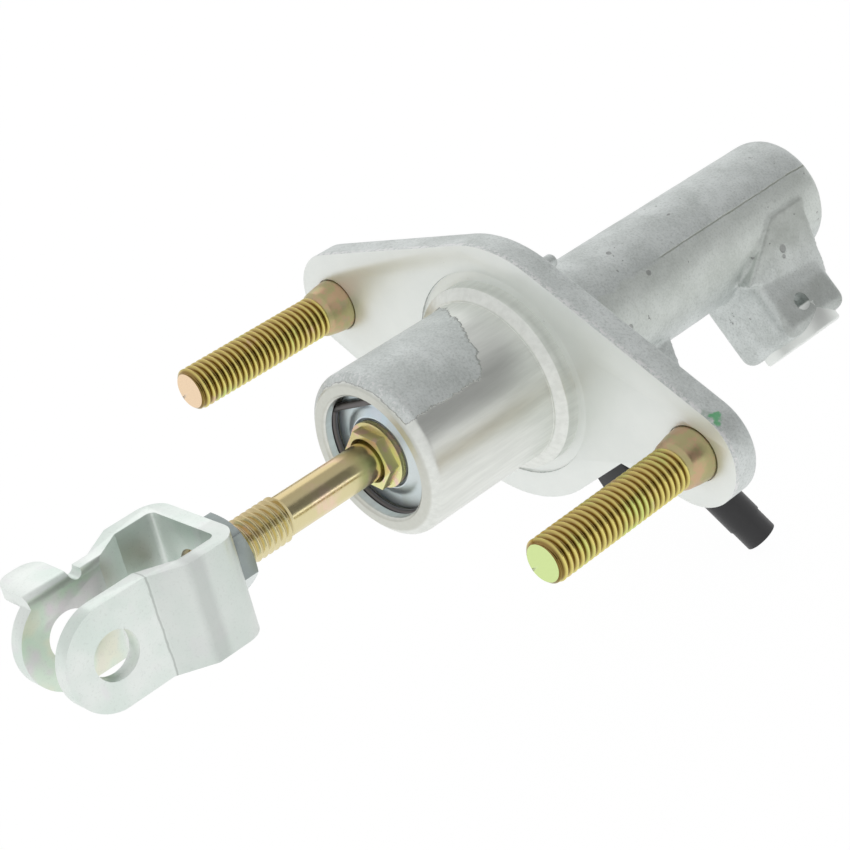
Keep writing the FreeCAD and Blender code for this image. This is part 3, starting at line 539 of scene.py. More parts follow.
@dataclass(frozen=True)
class TurnedBarrel:
    """Turned front barrel with cast skin left on one patch of its upper side."""

    name: str = "turned_barrel"
    skin: CastSkin = CastSkin()
    bright: Colour = (0.84, 0.86, 0.82, 1.0)
    dull: Colour = (0.76, 0.78, 0.74, 1.0)
    rim: Colour = (0.56, 0.565, 0.50, 1.0)
    edge: Colour = grey(0.22)
    chip: Colour = grey(0.86)
    roughness: float = 0.37
    metallic: float = 0.84
    patch_turn: float = 46.0
    patch_end: float = -14.0

    def patch(self, graph: Skin) -> Value:
        """Return the mask of the patch that the tool missed.

        Args:
            graph: the material's nodes.

        Returns:
            The mask.
        """
        radius, angle = graph.around()
        start = math.radians(self.patch_turn)
        ragged = graph.noise(2.4, 4.0, 0.68) - 0.5
        turn = angle + ragged * 0.16
        end = (angle - start) * (7.0 * MM) + self.patch_end * MM
        past_end = graph.y + ragged * (4.0 * MM) - end
        inside = graph.step(turn, start - 0.01, start + 0.012)
        inside = inside * (1.0 - graph.step_mm(past_end, -0.3, 0.3))
        on_barrel = 1.0 - graph.step_mm(radius, 15.2, 15.3)
        return inside * on_barrel * graph.step_mm(radius + ragged * (1.2 * MM), 13.6, 13.9)

    def build(self) -> bpy.types.Material:
        """Make the finished material.

        Returns:
            The material.
        """
        graph = Skin(self.name)
        patch = self.patch(graph)
        cut = 1.0 - patch
        along = graph.noise(1.1, 3.0, 0.6, (1.0, 0.10, 1.0))
        edge = graph.step(patch, 0.04, 0.40) * (1.0 - graph.step(patch, 0.60, 0.96))
        rim = graph.step_mm(graph.y, -30.8, -31.2) * 0.62
        near_rim = 1.0 - graph.step_mm(graph.y, -30.2, -27.0)
        chips = graph.step(graph.noise(0.55), 0.54, 0.62) * (patch * near_rim)
        tone = graph.layers(self.bright, (graph.step(along, 0.30, 0.70), self.dull),
                            (patch, self.skin.tone(graph)), (edge * 0.55, self.edge),
                            (rim * cut, self.rim), (chips * 0.6, self.chip))
        lines = graph.bump(graph.noise(0.20, 2.0, 0.5, (0.10, 1.0, 0.10)) * cut, 0.005)
        grain = graph.bump(graph.noise(0.5, 3.0, 0.7) * patch, 0.05, lines)
        graph.set(Base_Color=tone, Metallic=graph.blend(patch, self.metallic, self.skin.metallic),
                  Roughness=graph.blend(patch, self.roughness, self.skin.roughness),
                  Normal=graph.bump(patch, 0.10, grain))
        return graph.material


@dataclass(frozen=True)
class GoldPlate:
    """Yellow chromate over zinc, with hues that drift from tan to pink and green."""

    name: str
    tan: Colour
    pink: Colour = (0.74, 0.53, 0.36, 1.0)
    green: Colour = (0.56, 0.60, 0.26, 1.0)
    # painted shade in the thread grooves
    groove: Colour = (0.17, 0.095, 0.022, 1.0)
    # painted shade on the upper left side
    upper: Colour = (0.50, 0.32, 0.13, 1.0)
    copper: Colour = (0.56, 0.36, 0.27, 1.0)
    worn: Colour | None = None
    end: Colour | None = None
    worn_start: float = 0.0
    end_place: float = 0.0
    axis: float = 0.0
    groove_range: tuple[float, float] = (3.42, 3.92)
    drift_mm: float = 6.0
    pinkness: float = 0.5
    greenness: float = 0.5
    roughness: float = 0.17
    metallic: float = 1.0

    def build(self) -> bpy.types.Material:
        """Make the finished material, whose shank and flat end can have hues of their own.

        Returns:
            The material.
        """
        graph = Skin(self.name)
        root, crest = self.groove_range
        green_start = 0.72 - 0.3 * self.greenness
        pink_start = 0.72 - 0.3 * self.pinkness
        greens = graph.step(graph.noise(self.drift_mm), green_start, green_start + 0.16)
        pinks = graph.step(graph.noise(self.drift_mm * 0.7, 3.0, 0.5, (1.3, 1.1, 0.8)),
                           pink_start, pink_start + 0.16)
        # the distance from the axis puts painted shade in the thread grooves
        radius, _ = graph.around(self.axis)
        # painted shade on the upper left side of the piece
        upper = graph.step_mm(graph.z - (graph.x - self.axis * MM), -2.2, 4.2)
        tone = graph.layers(self.tan, (greens, self.green), (pinks, self.pink),
                            (graph.step_mm(radius, crest, root) * 0.9, self.groove),
                            (upper * 0.40, self.upper))
        coarse: Value | float = 0.0
        if self.worn:
            shank = graph.step_mm(graph.y, self.worn_start - 0.2, self.worn_start + 0.2)
            blotch = graph.step(graph.noise(2.4, 3.0, 0.6), 0.42, 0.60)
            tone = graph.mix(shank * 0.8, tone, graph.mix(blotch, self.worn, self.copper))
            coarse = shank * 0.16
        if self.end:
            _, facing, _ = graph.split(graph.normal)
            flat = 1.0 - graph.step(facing, -0.97, -0.90)
            at_end = 1.0 - graph.step_mm(graph.y, self.end_place, self.end_place + 0.5)
            tone = graph.mix(flat * at_end, tone, self.end)
        haze = graph.noise(0.6)
        sheen = graph.blend(haze, self.roughness - 0.05, self.roughness + 0.09)
        graph.set(Base_Color=tone, Metallic=self.metallic, Roughness=sheen + coarse,
                  Normal=graph.bump(haze, 0.004))
        return graph.material


@dataclass(frozen=True)
class PaleZinc:
    """Pale blue-green zinc on pressed steel."""

    name: str = "pale_zinc"
    light: Colour = (0.84, 0.88, 0.85, 1.0)
    tint: Colour = (0.74, 0.82, 0.77, 1.0)
    blush: Colour = (0.82, 0.78, 0.82, 1.0)
    # painted shade on the outer side past the first bend
    bend_shade: Colour = (0.62, 0.66, 0.63, 1.0)
    # painted shade along the soft second crease and the sharp first crease
    soft_crease_shade: Colour = (0.42, 0.45, 0.43, 1.0)
    sharp_crease_shade: Colour = (0.22, 0.24, 0.22, 1.0)
    speck: Colour = (0.50, 0.53, 0.50, 1.0)
    pink: Colour = (0.80, 0.62, 0.72, 1.0)
    green: Colour = (0.62, 0.80, 0.56, 1.0)
    yellow: Colour = (0.84, 0.80, 0.50, 1.0)
    # painted dark reflection on faces that look upwards
    upper: Colour | None = None
    roughness: float = 0.30
    metallic: float = 0.94
    first_crease: float = -81.3
    second_crease: float = -74.6

    def build(self) -> bpy.types.Material:
        """Make the finished material.

        Returns:
            The material.
        """
        graph = Skin(self.name)
        clouds = graph.step(graph.noise(9.0), 0.35, 0.65)
        blotch = graph.step(graph.noise(6.0, 2.0, 0.5, (1.0, 1.4, 0.8)), 0.55, 0.72)
        outer = graph.step_mm(graph.x, 2.0, 3.0)
        # painted shade on the strap's outer side past the first crease
        bend_shade = graph.step_mm(graph.y, self.first_crease - 0.5, self.first_crease + 0.5)
        place = graph.y + (graph.noise(3.0, 3.0, 0.6) - 0.5) * (0.5 * MM)
        # soft and sharp painted shade along the two creases
        soft = graph.step_mm(abs(place - self.second_crease * MM), 2.2, 0.66)
        sharp = graph.step_mm(abs(place - self.first_crease * MM), 0.20, 0.06)
        tone = graph.layers(self.light, (clouds, self.tint), (blotch * 0.45, self.blush),
                            (bend_shade * outer * 0.50, self.bend_shade),
                            (soft * outer * 0.42, self.soft_crease_shade),
                            (sharp * outer * 0.42, self.sharp_crease_shade), self.rainbow(graph))
        # faces that look upwards get a painted dark reflection
        if self.upper:
            _, _, rise = graph.split(graph.normal)
            tone = graph.mix(graph.step(rise, -0.1, 0.2), tone, self.upper)
        drawn = graph.noise(0.5, 3.0, 0.6, (1.0, 0.15, 1.0))
        grain = graph.noise(0.45, 3.0, 0.7)
        tone = graph.mix(graph.step(grain, 0.52, 0.72) * 0.22, tone, self.speck)
        graph.set(Base_Color=tone, Metallic=self.metallic, Normal=graph.bump(grain, 0.014),
                  Roughness=graph.blend(drawn, self.roughness - 0.03, self.roughness + 0.14))
        return graph.material

    def rainbow(self, graph: Skin) -> tuple[Value, Value]:
        """Return the drifting hues on the inner side of the far ear as a coat.

        Args:
            graph: the material's nodes.

        Returns:
            How much of the hues shows, and their colour.
        """
        facing, _, _ = graph.split(graph.normal)
        far_ear = graph.step_mm(graph.x, -1.0, -2.0) * graph.step_mm(graph.y, -80.0, -84.0)
        hue = graph.noise(7.0)
        tint = graph.layers(self.pink, (graph.step(hue, 0.36, 0.50), self.green),
                            (graph.step(hue, 0.52, 0.66), self.yellow))
        return graph.step(facing, 0.5, 0.7) * far_ear * 0.38, tint


@dataclass(frozen=True)
class PlainFinish:
    """One colour with a fine grain, for small and hidden pieces."""

    name: str
    colour: Colour
    roughness: float
    metallic: float
    grain_mm: float = 0.4
    depth_mm: float = 0.006

    def build(self) -> bpy.types.Material:
        """Make the finished material.

        Returns:
            The material.
        """
        graph = Skin(self.name)
        grain = graph.noise(self.grain_mm, 3.0, 0.6)
        darker = tuple(part * 0.8 for part in self.colour[:3]) + (1.0,)
        graph.set(Base_Color=graph.mix(grain, self.colour, darker), Metallic=self.metallic,
                  Roughness=graph.blend(grain, self.roughness - 0.05, self.roughness + 0.08),
                  Normal=graph.bump(grain, self.depth_mm))
        return graph.material


class Finishes:
    """All finishes of the object, each made once."""

    def __init__(self) -> None:
        """Build every material."""
        self.cast = CastSkin().build()
        self.face = MachinedFace().build()
        self.band = FlangeBand().build()
        self.barrel = TurnedBarrel().build()
        crest = (0.78, 0.68, 0.22, 1.0)
        both_studs = {"green": (0.68, 0.76, 0.24, 1.0), "worn": (0.44, 0.40, 0.24, 1.0),
                      "worn_start": -5.4, "end_place": -35.0}
        self.stud_left = GoldPlate("stud_left_plate", crest, pinkness=0.40, greenness=0.6,
                                   axis=-STUD_PLACE, end=(0.90, 0.68, 0.46, 1.0),
                                   **both_studs).build()
        self.stud_right = GoldPlate("stud_right_plate", crest, pinkness=0.35, greenness=0.75,
                                    axis=STUD_PLACE, end=(0.68, 0.82, 0.36, 1.0),
                                    **both_studs).build()
        self.rod = GoldPlate("rod_plate", (0.76, 0.68, 0.40, 1.0), (0.86, 0.66, 0.50, 1.0),
                             (0.68, 0.70, 0.36, 1.0), groove_range=(2.95, 3.42), drift_mm=9.0,
                             pinkness=0.7, roughness=0.20).build()
        self.collar = GoldPlate("collar_plate", (0.84, 0.82, 0.40, 1.0), (0.90, 0.66, 0.54, 1.0),
                                (0.80, 0.88, 0.44, 1.0), groove_range=(0.5, 0.6), drift_mm=3.0,
                                pinkness=0.75, roughness=0.22, metallic=0.72).build()
        self.zinc = PaleZinc().build()
        self.plate = PaleZinc("plate_zinc", (0.74, 0.82, 0.86, 1.0), (0.66, 0.78, 0.84, 1.0),
                              (0.80, 0.80, 0.88, 1.0), roughness=0.26).build()
        # the nut's upward faces carry a painted dark reflection
        self.nut = PaleZinc("nut_zinc", (0.86, 0.92, 0.92, 1.0), (0.78, 0.86, 0.86, 1.0),
                            (0.70, 0.72, 0.78, 1.0), upper=(0.31, 0.35, 0.345, 1.0),
                            roughness=0.26).build()
        self.ring = PlainFinish("dark_spring_steel", (0.16, 0.15, 0.15, 1.0), 0.34, 0.9).build()
        self.nylon = PlainFinish("black_nylon", (0.020, 0.020, 0.022, 1.0), 0.40, 0.0).build()
        self.rubber = PlainFinish("seal_rubber", (0.015, 0.015, 0.015, 1.0), 0.55, 0.0).build()
        self.alloy = PlainFinish("piston_alloy", (0.74, 0.75, 0.76, 1.0), 0.30, 0.9).build()


def take(*objects: Piece) -> None:
    """Select only these objects, the last one active."""
    bpy.ops.object.select_all(action="DESELECT")
    for item in objects:
        item.select_set(True)
    if objects:
        bpy.context.view_layer.objects.active = objects[-1]


def in_edit(obj: Piece, everything: bool = True) -> None:
    """Open a mesh for editing.

    Args:
        obj: the mesh.
        everything: select all of it, or keep what is selected in it.
    """
    take(obj)
    bpy.ops.object.mode_set(mode="EDIT")
    if everything:
        bpy.ops.mesh.select_mode(type="VERT")
        bpy.ops.mesh.select_all(action="SELECT")


def out_of_edit() -> None:
    """Close the mesh that is open."""
    bpy.ops.object.mode_set(mode="OBJECT")


def put(obj: Piece, matrix: Matrix) -> None:
    """Put a piece in its place and write that into its mesh."""
    obj.matrix_world = matrix
    take(obj)
    bpy.ops.object.transform_apply(location=True, rotation=True, scale=True)


def use_modifier(obj: Piece, kind: str, **settings: object) -> None:
    """Add a modifier and apply it.

    Args:
        obj: the mesh.
        kind: the modifier's type.
        **settings: its properties.
    """
    take(obj)
    modifier = obj.modifiers.new(kind.title(), kind)
    for key, value in settings.items():
        setattr(modifier, key, value)
    bpy.ops.object.modifier_apply(modifier=modifier.name)


def smooth(obj: Piece, degrees: float = 32.0) -> None:
    """Shade a mesh smooth except at edges sharper than that."""
    take(obj)
    bpy.ops.object.shade_smooth_by_angle(angle=math.radians(degrees))


def face_outwards(obj: Piece) -> None:
    """Merge doubles and point every face of a closed mesh outwards."""
    in_edit(obj)
    bpy.ops.mesh.remove_doubles(threshold=2.0 * MERGE)
    bpy.ops.mesh.normals_make_consistent(inside=False)
    out_of_edit()


def named_piece(name: str) -> Piece:
    """Return the active object under a new name."""
    obj = bpy.context.view_layer.objects.active
    obj.name = name
    obj.data.name = name
    return obj


def polyline(name: str, points: list[Point]) -> Piece:
    """Draw a chain of edges point by point.

    Args:
        name: name of the object.
        points: its points, in millimetres.

    Returns:
        The object.
    """
    take()
    bpy.ops.mesh.primitive_plane_add(size=MM)
    obj = named_piece(name)
    in_edit(obj)
    bpy.ops.mesh.merge(type="CENTER")
    bpy.ops.transform.translate(value=tuple(Vector(points[0]) * MM))
    for start, end in zip(points, points[1:]):
        move = tuple((Vector(end) - Vector(start)) * MM)
        bpy.ops.mesh.extrude_vertices_move(TRANSFORM_OT_translate={"value": move})
    out_of_edit()
    return obj


def hull(name: str, axes: Matrix, corners: list[Point]) -> Piece:
    """Wrap a skin about corners.

    Args:
        name: name of the object.
        axes: turn of the frame that the corners are given in.
        corners: the corners, in millimetres.

    Returns:
        The object.
    """
    obj = polyline(name, [tuple(axes @ Vector(corner)) for corner in corners])
    in_edit(obj)
    bpy.ops.mesh.convex_hull()
    out_of_edit()
    face_outwards(obj)
    return obj


def softened(corners: list[Point], pieces: int = 5, closed: bool = False) -> Profile:
    """Round the corners of a chain of points.

    Args:
        corners: across, along and corner radius of each point.
        pieces: number of edges in a round.
        closed: the last point is joined to the first.

    Returns:
        The points with their rounds.
    """
    result: Profile = []
    count = len(corners)
    for index, (aside, along, radius) in enumerate(corners):
        here = Vector((aside, along))
        is_end = not closed and index in (0, count - 1)
        if radius <= 0.0 or is_end:
            result.append((aside, along))
            continue
        before = Vector(corners[index - 1][:2]) - here
        after = Vector(corners[(index + 1) % count][:2]) - here
        half = before.angle(after) / 2.0
        reach = min(radius / math.tan(half), before.length * 0.49, after.length * 0.49)
        first = here + before.normalized() * reach
        last = here + after.normalized() * reach
        for part in range(pieces + 1):
            turn = part / pieces
            spot = first.lerp(here, turn).lerp(here.lerp(last, turn), turn)
            result.append((spot.x, spot.y))
    return result


def turned(name: str, profile: Profile, closed: bool = False, steps: int = 128) -> Piece:
    """Turn a profile about the cylinder axis.

    Args:
        name: name of the object.
        profile: distance from the axis and place along it.
        closed: join the last point to the first.
        steps: number of faces round.

    Returns:
        The object.
    """
    chain = profile + [profile[0]] if closed else profile
    obj = polyline(name, [(max(radius, 0.0), along, 0.0) for radius, along in chain])
    use_modifier(obj, "SCREW", axis="Y", angle=math.tau, steps=steps, render_steps=steps,
                 screw_offset=0.0, use_merge_vertices=True, merge_threshold=MERGE)
    face_outwards(obj)
    smooth(obj)
    return obj


def bar(name: str, radius: float, start: Vector, end: Vector, sides: int = 64) -> Piece:
    """Add a round bar between two points.

    Args:
        name: name of the object.
        radius: its radius.
        start: one end.
        end: the other end.
        sides: number of faces round.

    Returns:
        The object.
    """
    take()
    way = end - start
    bpy.ops.mesh.primitive_cone_add(vertices=sides, radius1=radius * MM, radius2=radius * MM,
                                    depth=way.length * MM)
    obj = named_piece(name)
    turn = way.to_track_quat("Z", "Y").to_matrix().to_4x4()
    put(obj, Matrix.Translation((start + end) / 2.0 * MM) @ turn)
    return obj


def block(name: str, low: Point, high: Point) -> Piece:
    """Add a box between two corners.

    Args:
        name: name of the object.
        low: lowest corner.
        high: highest corner.

    Returns:
        The object.
    """
    take()
    bpy.ops.mesh.primitive_cube_add(size=1.0)
    obj = named_piece(name)
    middle = (Vector(low) + Vector(high)) / 2.0
    size = Vector(high) - Vector(low)
    put(obj, Matrix.Translation(middle * MM) @ Matrix.Diagonal((*(size * MM), 1.0)))
    return obj


def bevelled(obj: Piece, width: float, pieces: int, angle: float) -> None:
    """Round the sharp edges of a mesh.

    Args:
        obj: the mesh.
        width: width of the round.
        pieces: number of faces across it.
        angle: edges flatter than this stay, in degrees.
    """
    use_modifier(obj, "BEVEL", width=width * MM, segments=pieces, limit_method="ANGLE",
                 angle_limit=math.radians(angle), miter_outer="MITER_SHARP")


def combine(obj: Piece, tools: list[Piece], operation: str = "DIFFERENCE") -> None:
    """Combine a mesh with tools, which are used up.

    Args:
        obj: the mesh that stays.
        tools: the meshes that it is combined with.
        operation: what is done.
    """
    for tool in tools:
        use_modifier(obj, "BOOLEAN", operation=operation, object=tool, solver="EXACT")
        take(tool)
        bpy.ops.object.delete()


def joined(name: str, pieces: list[Piece]) -> Piece:
    """Make one object of several meshes."""
    take(*pieces)
    bpy.ops.object.join()
    return named_piece(name)


def copy_of(node: Piece, name: str) -> Piece:
    """Copy a solid's mesh with its doubles merged and its flats in one piece.

    Args:
        node: the solid's object.
        name: name of the copy.

    Returns:
        The copy.
    """
    take(node)
    bpy.ops.object.duplicate()
    obj = named_piece(name)
    bpy.ops.object.parent_clear(type="CLEAR_KEEP_TRANSFORM")
    obj.data.materials.clear()
    in_edit(obj)
    bpy.ops.mesh.remove_doubles(threshold=MERGE)
    bpy.ops.mesh.dissolve_limited(angle_limit=math.radians(0.6))
    out_of_edit()
    return obj


def rounded_copy(node: Piece, name: str, width: float, pieces: int, angle: float) -> Piece:
    """Copy a solid and round its sharp edges.

    Args:
        node: the solid's object.
        name: name of the copy.
        width: width of the round.
        pieces: number of faces across it.
        angle: edges flatter than this stay, in degrees.

    Returns:
        The copy.
    """
    obj = copy_of(node, name)
    bevelled(obj, width, pieces, angle)
    smooth(obj)
    return obj


def finish_piece(obj: Piece, material: bpy.types.Material, body: Body, slot: Slot,
                 *replaces: str) -> None:
    """Dress a piece and hand it to its body.

    Args:
        obj: the piece.
        material: its finish.
        body: the body that it rides on.
        slot: the record's slot; not used.
        *replaces: the solids that it stands for.
    """
    obj.data.materials.clear()
    obj.data.materials.append(material)
    for polygon in obj.data.polygons:
        polygon.material_index = 0
    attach(obj, body.value)
    if replaces:
        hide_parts(*replaces)
    LOG.info("%s: %d faces", obj.name, len(obj.data.polygons))


def second_finish(obj: Piece, material: bpy.types.Material) -> None:
    """Give the faces that look along -Y from the plane of the flange face another finish.

    Args:
        obj: the piece, already dressed.
        material: the finish of those faces.
    """
    obj.data.materials.append(material)
    for polygon in obj.data.polygons:
        if polygon.normal.y < -0.9 and polygon.center.y < 1.0 * MM:
            polygon.material_index = 1


def turned_axes(degrees: float) -> Matrix:
    """Return axes with X along the cylinder and Y outwards, that many degrees below +X."""
    outward = across(degrees)
    return Matrix((ALONG, outward, ALONG.cross(outward))).transposed()


@dataclass
class ThreadForm:
    """A right-hand metric thread."""

    crest: float = 3.95
    root: float = 3.22
    pitch: float = 1.25

    def profile(self) -> Profile:
        """Return one pitch of the thread.

        Returns:
            Pairs of distance from the axis and place along it.
        """
        depth = self.crest - self.root
        shape = ((0.00, 1.0), (0.055, 0.995), (0.10, 0.93), (0.33, 0.16), (0.39, 0.03),
                 (0.46, 0.0), (0.54, 0.0), (0.61, 0.03), (0.67, 0.16), (0.90, 0.93),
                 (0.945, 0.995), (1.00, 1.0))
        return [(self.root + depth * high, part * self.pitch) for part, high in shape]

    def cut_rod(self, name: str, start: float, end: float, chamfer: float) -> Piece:
        """Make a threaded rod along Y, chamfered at its start.

        Args:
            name: name of the object.
            start: free end, towards -Y.
            end: where the thread runs into the shank.
            chamfer: how far the free end tapers.

        Returns:
            The object.
        """
        turns = int((end - start) / self.pitch) + 4
        first = start - 2.0 * self.pitch
        obj = polyline(name, [(radius, first + along, 0.0) for radius, along in self.profile()])
        use_modifier(obj, "SCREW", axis="Y", angle=math.tau, steps=56, render_steps=56,
                     iterations=turns, screw_offset=self.pitch * MM,
                     use_merge_vertices=True, merge_threshold=MERGE)
        for place, outer in ((start - 0.6 * self.pitch, False), (end + 0.3, True)):
            in_edit(obj)
            bpy.ops.mesh.remove_doubles(threshold=MERGE)
            bpy.ops.mesh.bisect(plane_co=tuple(ALONG * place * MM), plane_no=tuple(ALONG),
                                use_fill=True, clear_inner=not outer, clear_outer=outer)
            out_of_edit()
        face_outwards(obj)
        clear = self.crest + 0.3
        room = turned(name + "_room", [(0.0, start), (self.crest - chamfer * 0.9, start),
                                       (clear, start + chamfer * 1.3), (clear, end), (0.0, end)])
        combine(obj, [room], "INTERSECT")
        smooth(obj, 40.0)
        return obj


def arc(center: Vector, radius: float, start: float, end: float, pieces: int) -> Profile:
    """Return points along an arc.

    Args:
        center: its centre.
        radius: its radius.
        start: direction of its first point, in degrees from the first axis to the second.
        end: direction of its last point.
        pieces: number of edges along it.

    Returns:
        The points.
    """
    turns = [math.radians(start + (end - start) * part / pieces) for part in range(pieces + 1)]
    return [(center.x + radius * math.cos(turn), center.y + radius * math.sin(turn))
            for turn in turns]


@dataclass
class FlangeForm:
    """Outline of the flange: a diamond with round lobes and one notch."""

    bulge: float = 24.0
    lobe: float = 9.5
    lobe_reach: float = 41.0
    lobe_drop: float = 0.7
    notch: tuple[float, float] = (26.2, -8.2)

    def outline(self) -> Profile:
        """Draw the outline clockwise from the upper left.

        Returns:
            The points, across and up.
        """
        middle = Vector((0.0, 0.0))
        right = Vector((self.lobe_reach, -self.lobe_drop))
        spread = math.degrees(math.acos((self.bulge - self.lobe) / right.length))
        tilt = math.degrees(math.atan2(right.y, right.x))
        notch = Vector(self.notch)
        notch_turn = math.degrees(math.atan2(notch.y, notch.x))
        bulge_end = notch_turn - math.degrees(math.acos(self.bulge / notch.length))
        from_lobe = notch - right
        lobe_end = (math.degrees(math.atan2(from_lobe.y, from_lobe.x))
                    + math.degrees(math.acos(self.lobe / from_lobe.length))) % 360.0 - 360.0
        top_right = tilt + spread
        top_left = tilt + 180.0 - spread
        low_left = tilt - 180.0 + spread
        points = arc(middle, self.bulge, top_left, top_right, 16)
        points += arc(right, self.lobe, top_right, lobe_end, 40)
        points += [self.notch]
        points += arc(middle, self.bulge, bulge_end, low_left, 24)
        points += arc(-right, self.lobe, low_left, top_left - 360.0, 40)
        return points


@dataclass
class Casting:
    """The aluminium body: turned front barrel, flange and cast rear."""

    mouth: float = -31.3
    seat: float = -26.9
    groove: float = 12.3
    barrel: float = 15.0
    bore: float = 7.94
    flange_thick: float = 5.6
    relief_radius: float = 19.2
    relief_depth: float = 0.4
    stud_seat: float = 5.05
    rear_radius: float = 11.6
    rear_end: float = 77.0
    port_place: float = 60.5
    port: float = 5.0
    land_radius: float = 8.0
    inlet_place: float = 14.7
    inlet_radius: float = 8.0
    nub_place: tuple[float, float] = (6.5, 20.3)
    voxel: float = 0.36

    def front(self) -> Piece:
        """Build the turned front barrel with its shoulder and the seats in its mouth.

        Returns:
            The piece.
        """
        return turned("casting_barrel", softened([
            (self.bore, 2.0, 0.0), (self.bore, self.seat, 0.0), (11.2, self.seat, 0.0),
            (11.2, -27.9, 0.0), (self.groove, -27.9, 0.0), (self.groove, -29.4, 0.0),
            (11.2, -29.4, 0.05), (11.2, -30.8, 0.2), (11.75, self.mouth, 0.15),
            (13.2, self.mouth, 0.5), (self.barrel, -29.9, 1.6), (self.barrel, -3.3, 0.12),
            (15.4, -3.3, 0.12), (17.2, -2.1, 0.25), (17.2, 2.0, 0.0)], 5, True),
            closed=True, steps=192)

    def flange(self) -> Piece:
        """Build the flange plate with the relief about the barrel and the stud seats.

        Returns:
            The piece.
        """
        obj = polyline("casting_flange", [(x, 0.0, z) for x, z in FlangeForm().outline()])
        in_edit(obj)
        bpy.ops.mesh.edge_face_add()
        bpy.ops.mesh.select_all(action="SELECT")
        bpy.ops.mesh.extrude_region_move(
            TRANSFORM_OT_translate={"value": (0.0, self.flange_thick * MM, 0.0)})
        bpy.ops.mesh.bevel(offset=0.8 * MM, segments=4, affect="EDGES")
        out_of_edit()
        face_outwards(obj)
        relief = turned("relief_cut", [
            (16.8, -1.0), (self.relief_radius, -1.0), (self.relief_radius, self.relief_depth),
            (16.8, self.relief_depth)], closed=True, steps=192)
        bore = bar("flange_bore", self.bore, -ALONG, ALONG * 8.0, 96)
        seats = [bar("stud_seat", self.stud_seat, Vector((x, -1.0, 0.0)),
                     Vector((x, self.relief_depth, 0.0)), 96) for x in (-STUD_PLACE, STUD_PLACE)]
        combine(obj, [relief, bore, *seats])
        bevelled(obj, 0.10, 2, 50.0)
        smooth(obj, 30.0)
        return obj

    def boss(self) -> Piece:
        """Build the outlet block, tapered towards its outer end.

        Returns:
            The piece.
        """
        top = 24.4
        obj = block("boss_block", (48.4, 3.0, -9.8), (71.6, top, 9.8))
        for vertex in obj.data.vertices:
            vertex.select = vertex.co.y > 20.0 * MM
        in_edit(obj, everything=False)
        bpy.ops.transform.resize(value=(0.755, 1.0, 0.816),
                                 center_override=(60.4 * MM, top * MM, 0.0))
        out_of_edit()
        put(obj, turned_axes(OUTLET_TURN).to_4x4())
        bevelled(obj, 2.2, 5, 30.0)
        return obj

    def ramp(self) -> Piece:
        """Build the sloped web between the barrel and the top face of the outlet block."""
        return hull("boss_ramp", turned_axes(OUTLET_TURN), [
            (61.3, 3.8, -11.35), (70.4, 3.8, -11.25), (49.6, 12.2, -8.3), (69.0, 17.5, -7.2),
            (50.5, 8.0, 0.0), (69.5, 8.0, 0.0), (61.3, 1.5, -5.0), (70.0, 1.5, -5.0)])

    def rib(self) -> Piece:
        """Build the rib that stiffens the flange below the barrel."""
        shape = ((6.0, 6.0, 4.0), (33.2, 6.0, 4.0), (32.0, 11.6, 3.6), (30.2, 18.5, 2.6),
                 (6.0, 18.5, 2.6))
        return hull("flange_rib", turned_axes(OUTLET_TURN), [
            (along, out, aside) for along, out, half in shape for aside in (-half, half)])

    def holes(self) -> list[Piece]:
        """Make the bars that drill the rear: pin, side hole, outlet and bore.

        Returns:
            The bars.
        """
        outward = across(OUTLET_TURN)
        side = outward.cross(ALONG)
        pin = outward * 19.5 + ALONG * 58.5
        beside = outward * 19.4 + side * 5.4
        port = ALONG * self.port_place
        return [bar("pin_hole", 1.75, pin - side * 9.5, pin + side * 9.5, 48),
                bar("side_hole", 1.35, beside + ALONG * 67.2, beside + ALONG * 74.0, 48),
                bar("outlet_bore", self.port, outward * 14.0 + port, outward * 27.0 + port),
                bar("rear_bore", self.bore, -ALONG, ALONG * 66.0, 96)]

    def rear(self) -> Piece:
        """Build the cast rear: barrel, fillet, outlet block, web, rib, inlet boss and nub.

        Returns:
            The piece.
        """
        barrel = turned("rear_barrel", softened([
            (0.0, 3.0, 0.0), (16.5, 3.0, 0.0), (16.5, 5.5, 0.0), (self.rear_radius, 5.5, 4.5),
            (self.rear_radius, self.rear_end, 2.6), (0.0, self.rear_end, 0.0)], 8), steps=160)
        inlet = across(INLET_TURN)
        spot = ALONG * self.inlet_place
        inlet_boss = bar("inlet_boss", self.inlet_radius, inlet * 2.0 + spot, inlet * 17.0 + spot, 96)
        x, z = self.nub_place
        nub = bar("nub", 1.3, Vector((x, 4.0, z)), Vector((x, 8.6, z)), 24)
        obj = joined("casting_rear", [barrel, self.boss(), self.ramp(), self.rib(), inlet_boss, nub])
        use_modifier(obj, "REMESH", mode="VOXEL", voxel_size=self.voxel * MM)
        use_modifier(obj, "SMOOTH", factor=0.5, iterations=4)
        clouds = bpy.data.textures.new("cast_lumps", "CLOUDS")
        clouds.noise_scale = 3.0 * MM
        use_modifier(obj, "DISPLACE", texture=clouds, strength=0.10 * MM, mid_level=0.5,
                     texture_coords="LOCAL")
        combine(obj, self.holes())
        smooth(obj, 55.0)
        return obj

    def land(self) -> Piece:
        """Build the machined round land with its port on the end of the outlet block.

        Returns:
            The piece.
        """
        outward = across(OUTLET_TURN)
        center = ALONG * self.port_place
        obj = bar("outlet_land", self.land_radius, outward * 20.0 + center,
                  outward * 26.0 + center, 128)
        bevelled(obj, 0.5, 3, 40.0)
        combine(obj, [bar("port_cut", self.port, outward * 14.0 + center,
                          outward * 28.0 + center, 96)])
        smooth(obj)
        return obj

    def build(self, finishes: Finishes) -> None:
        """Build and dress the body.

        Args:
            finishes: all finishes.
        """
        finish_piece(self.front(), finishes.barrel, Body.HOUSING, Slot.CAST, "cylinder_body")
        flange = self.flange()
        finish_piece(flange, finishes.band, Body.HOUSING, Slot.CAST)
        second_finish(flange, finishes.face)
        finish_piece(self.rear(), finishes.cast, Body.HOUSING, Slot.CAST)
        finish_piece(self.land(), finishes.face, Body.HOUSING, Slot.CAST)


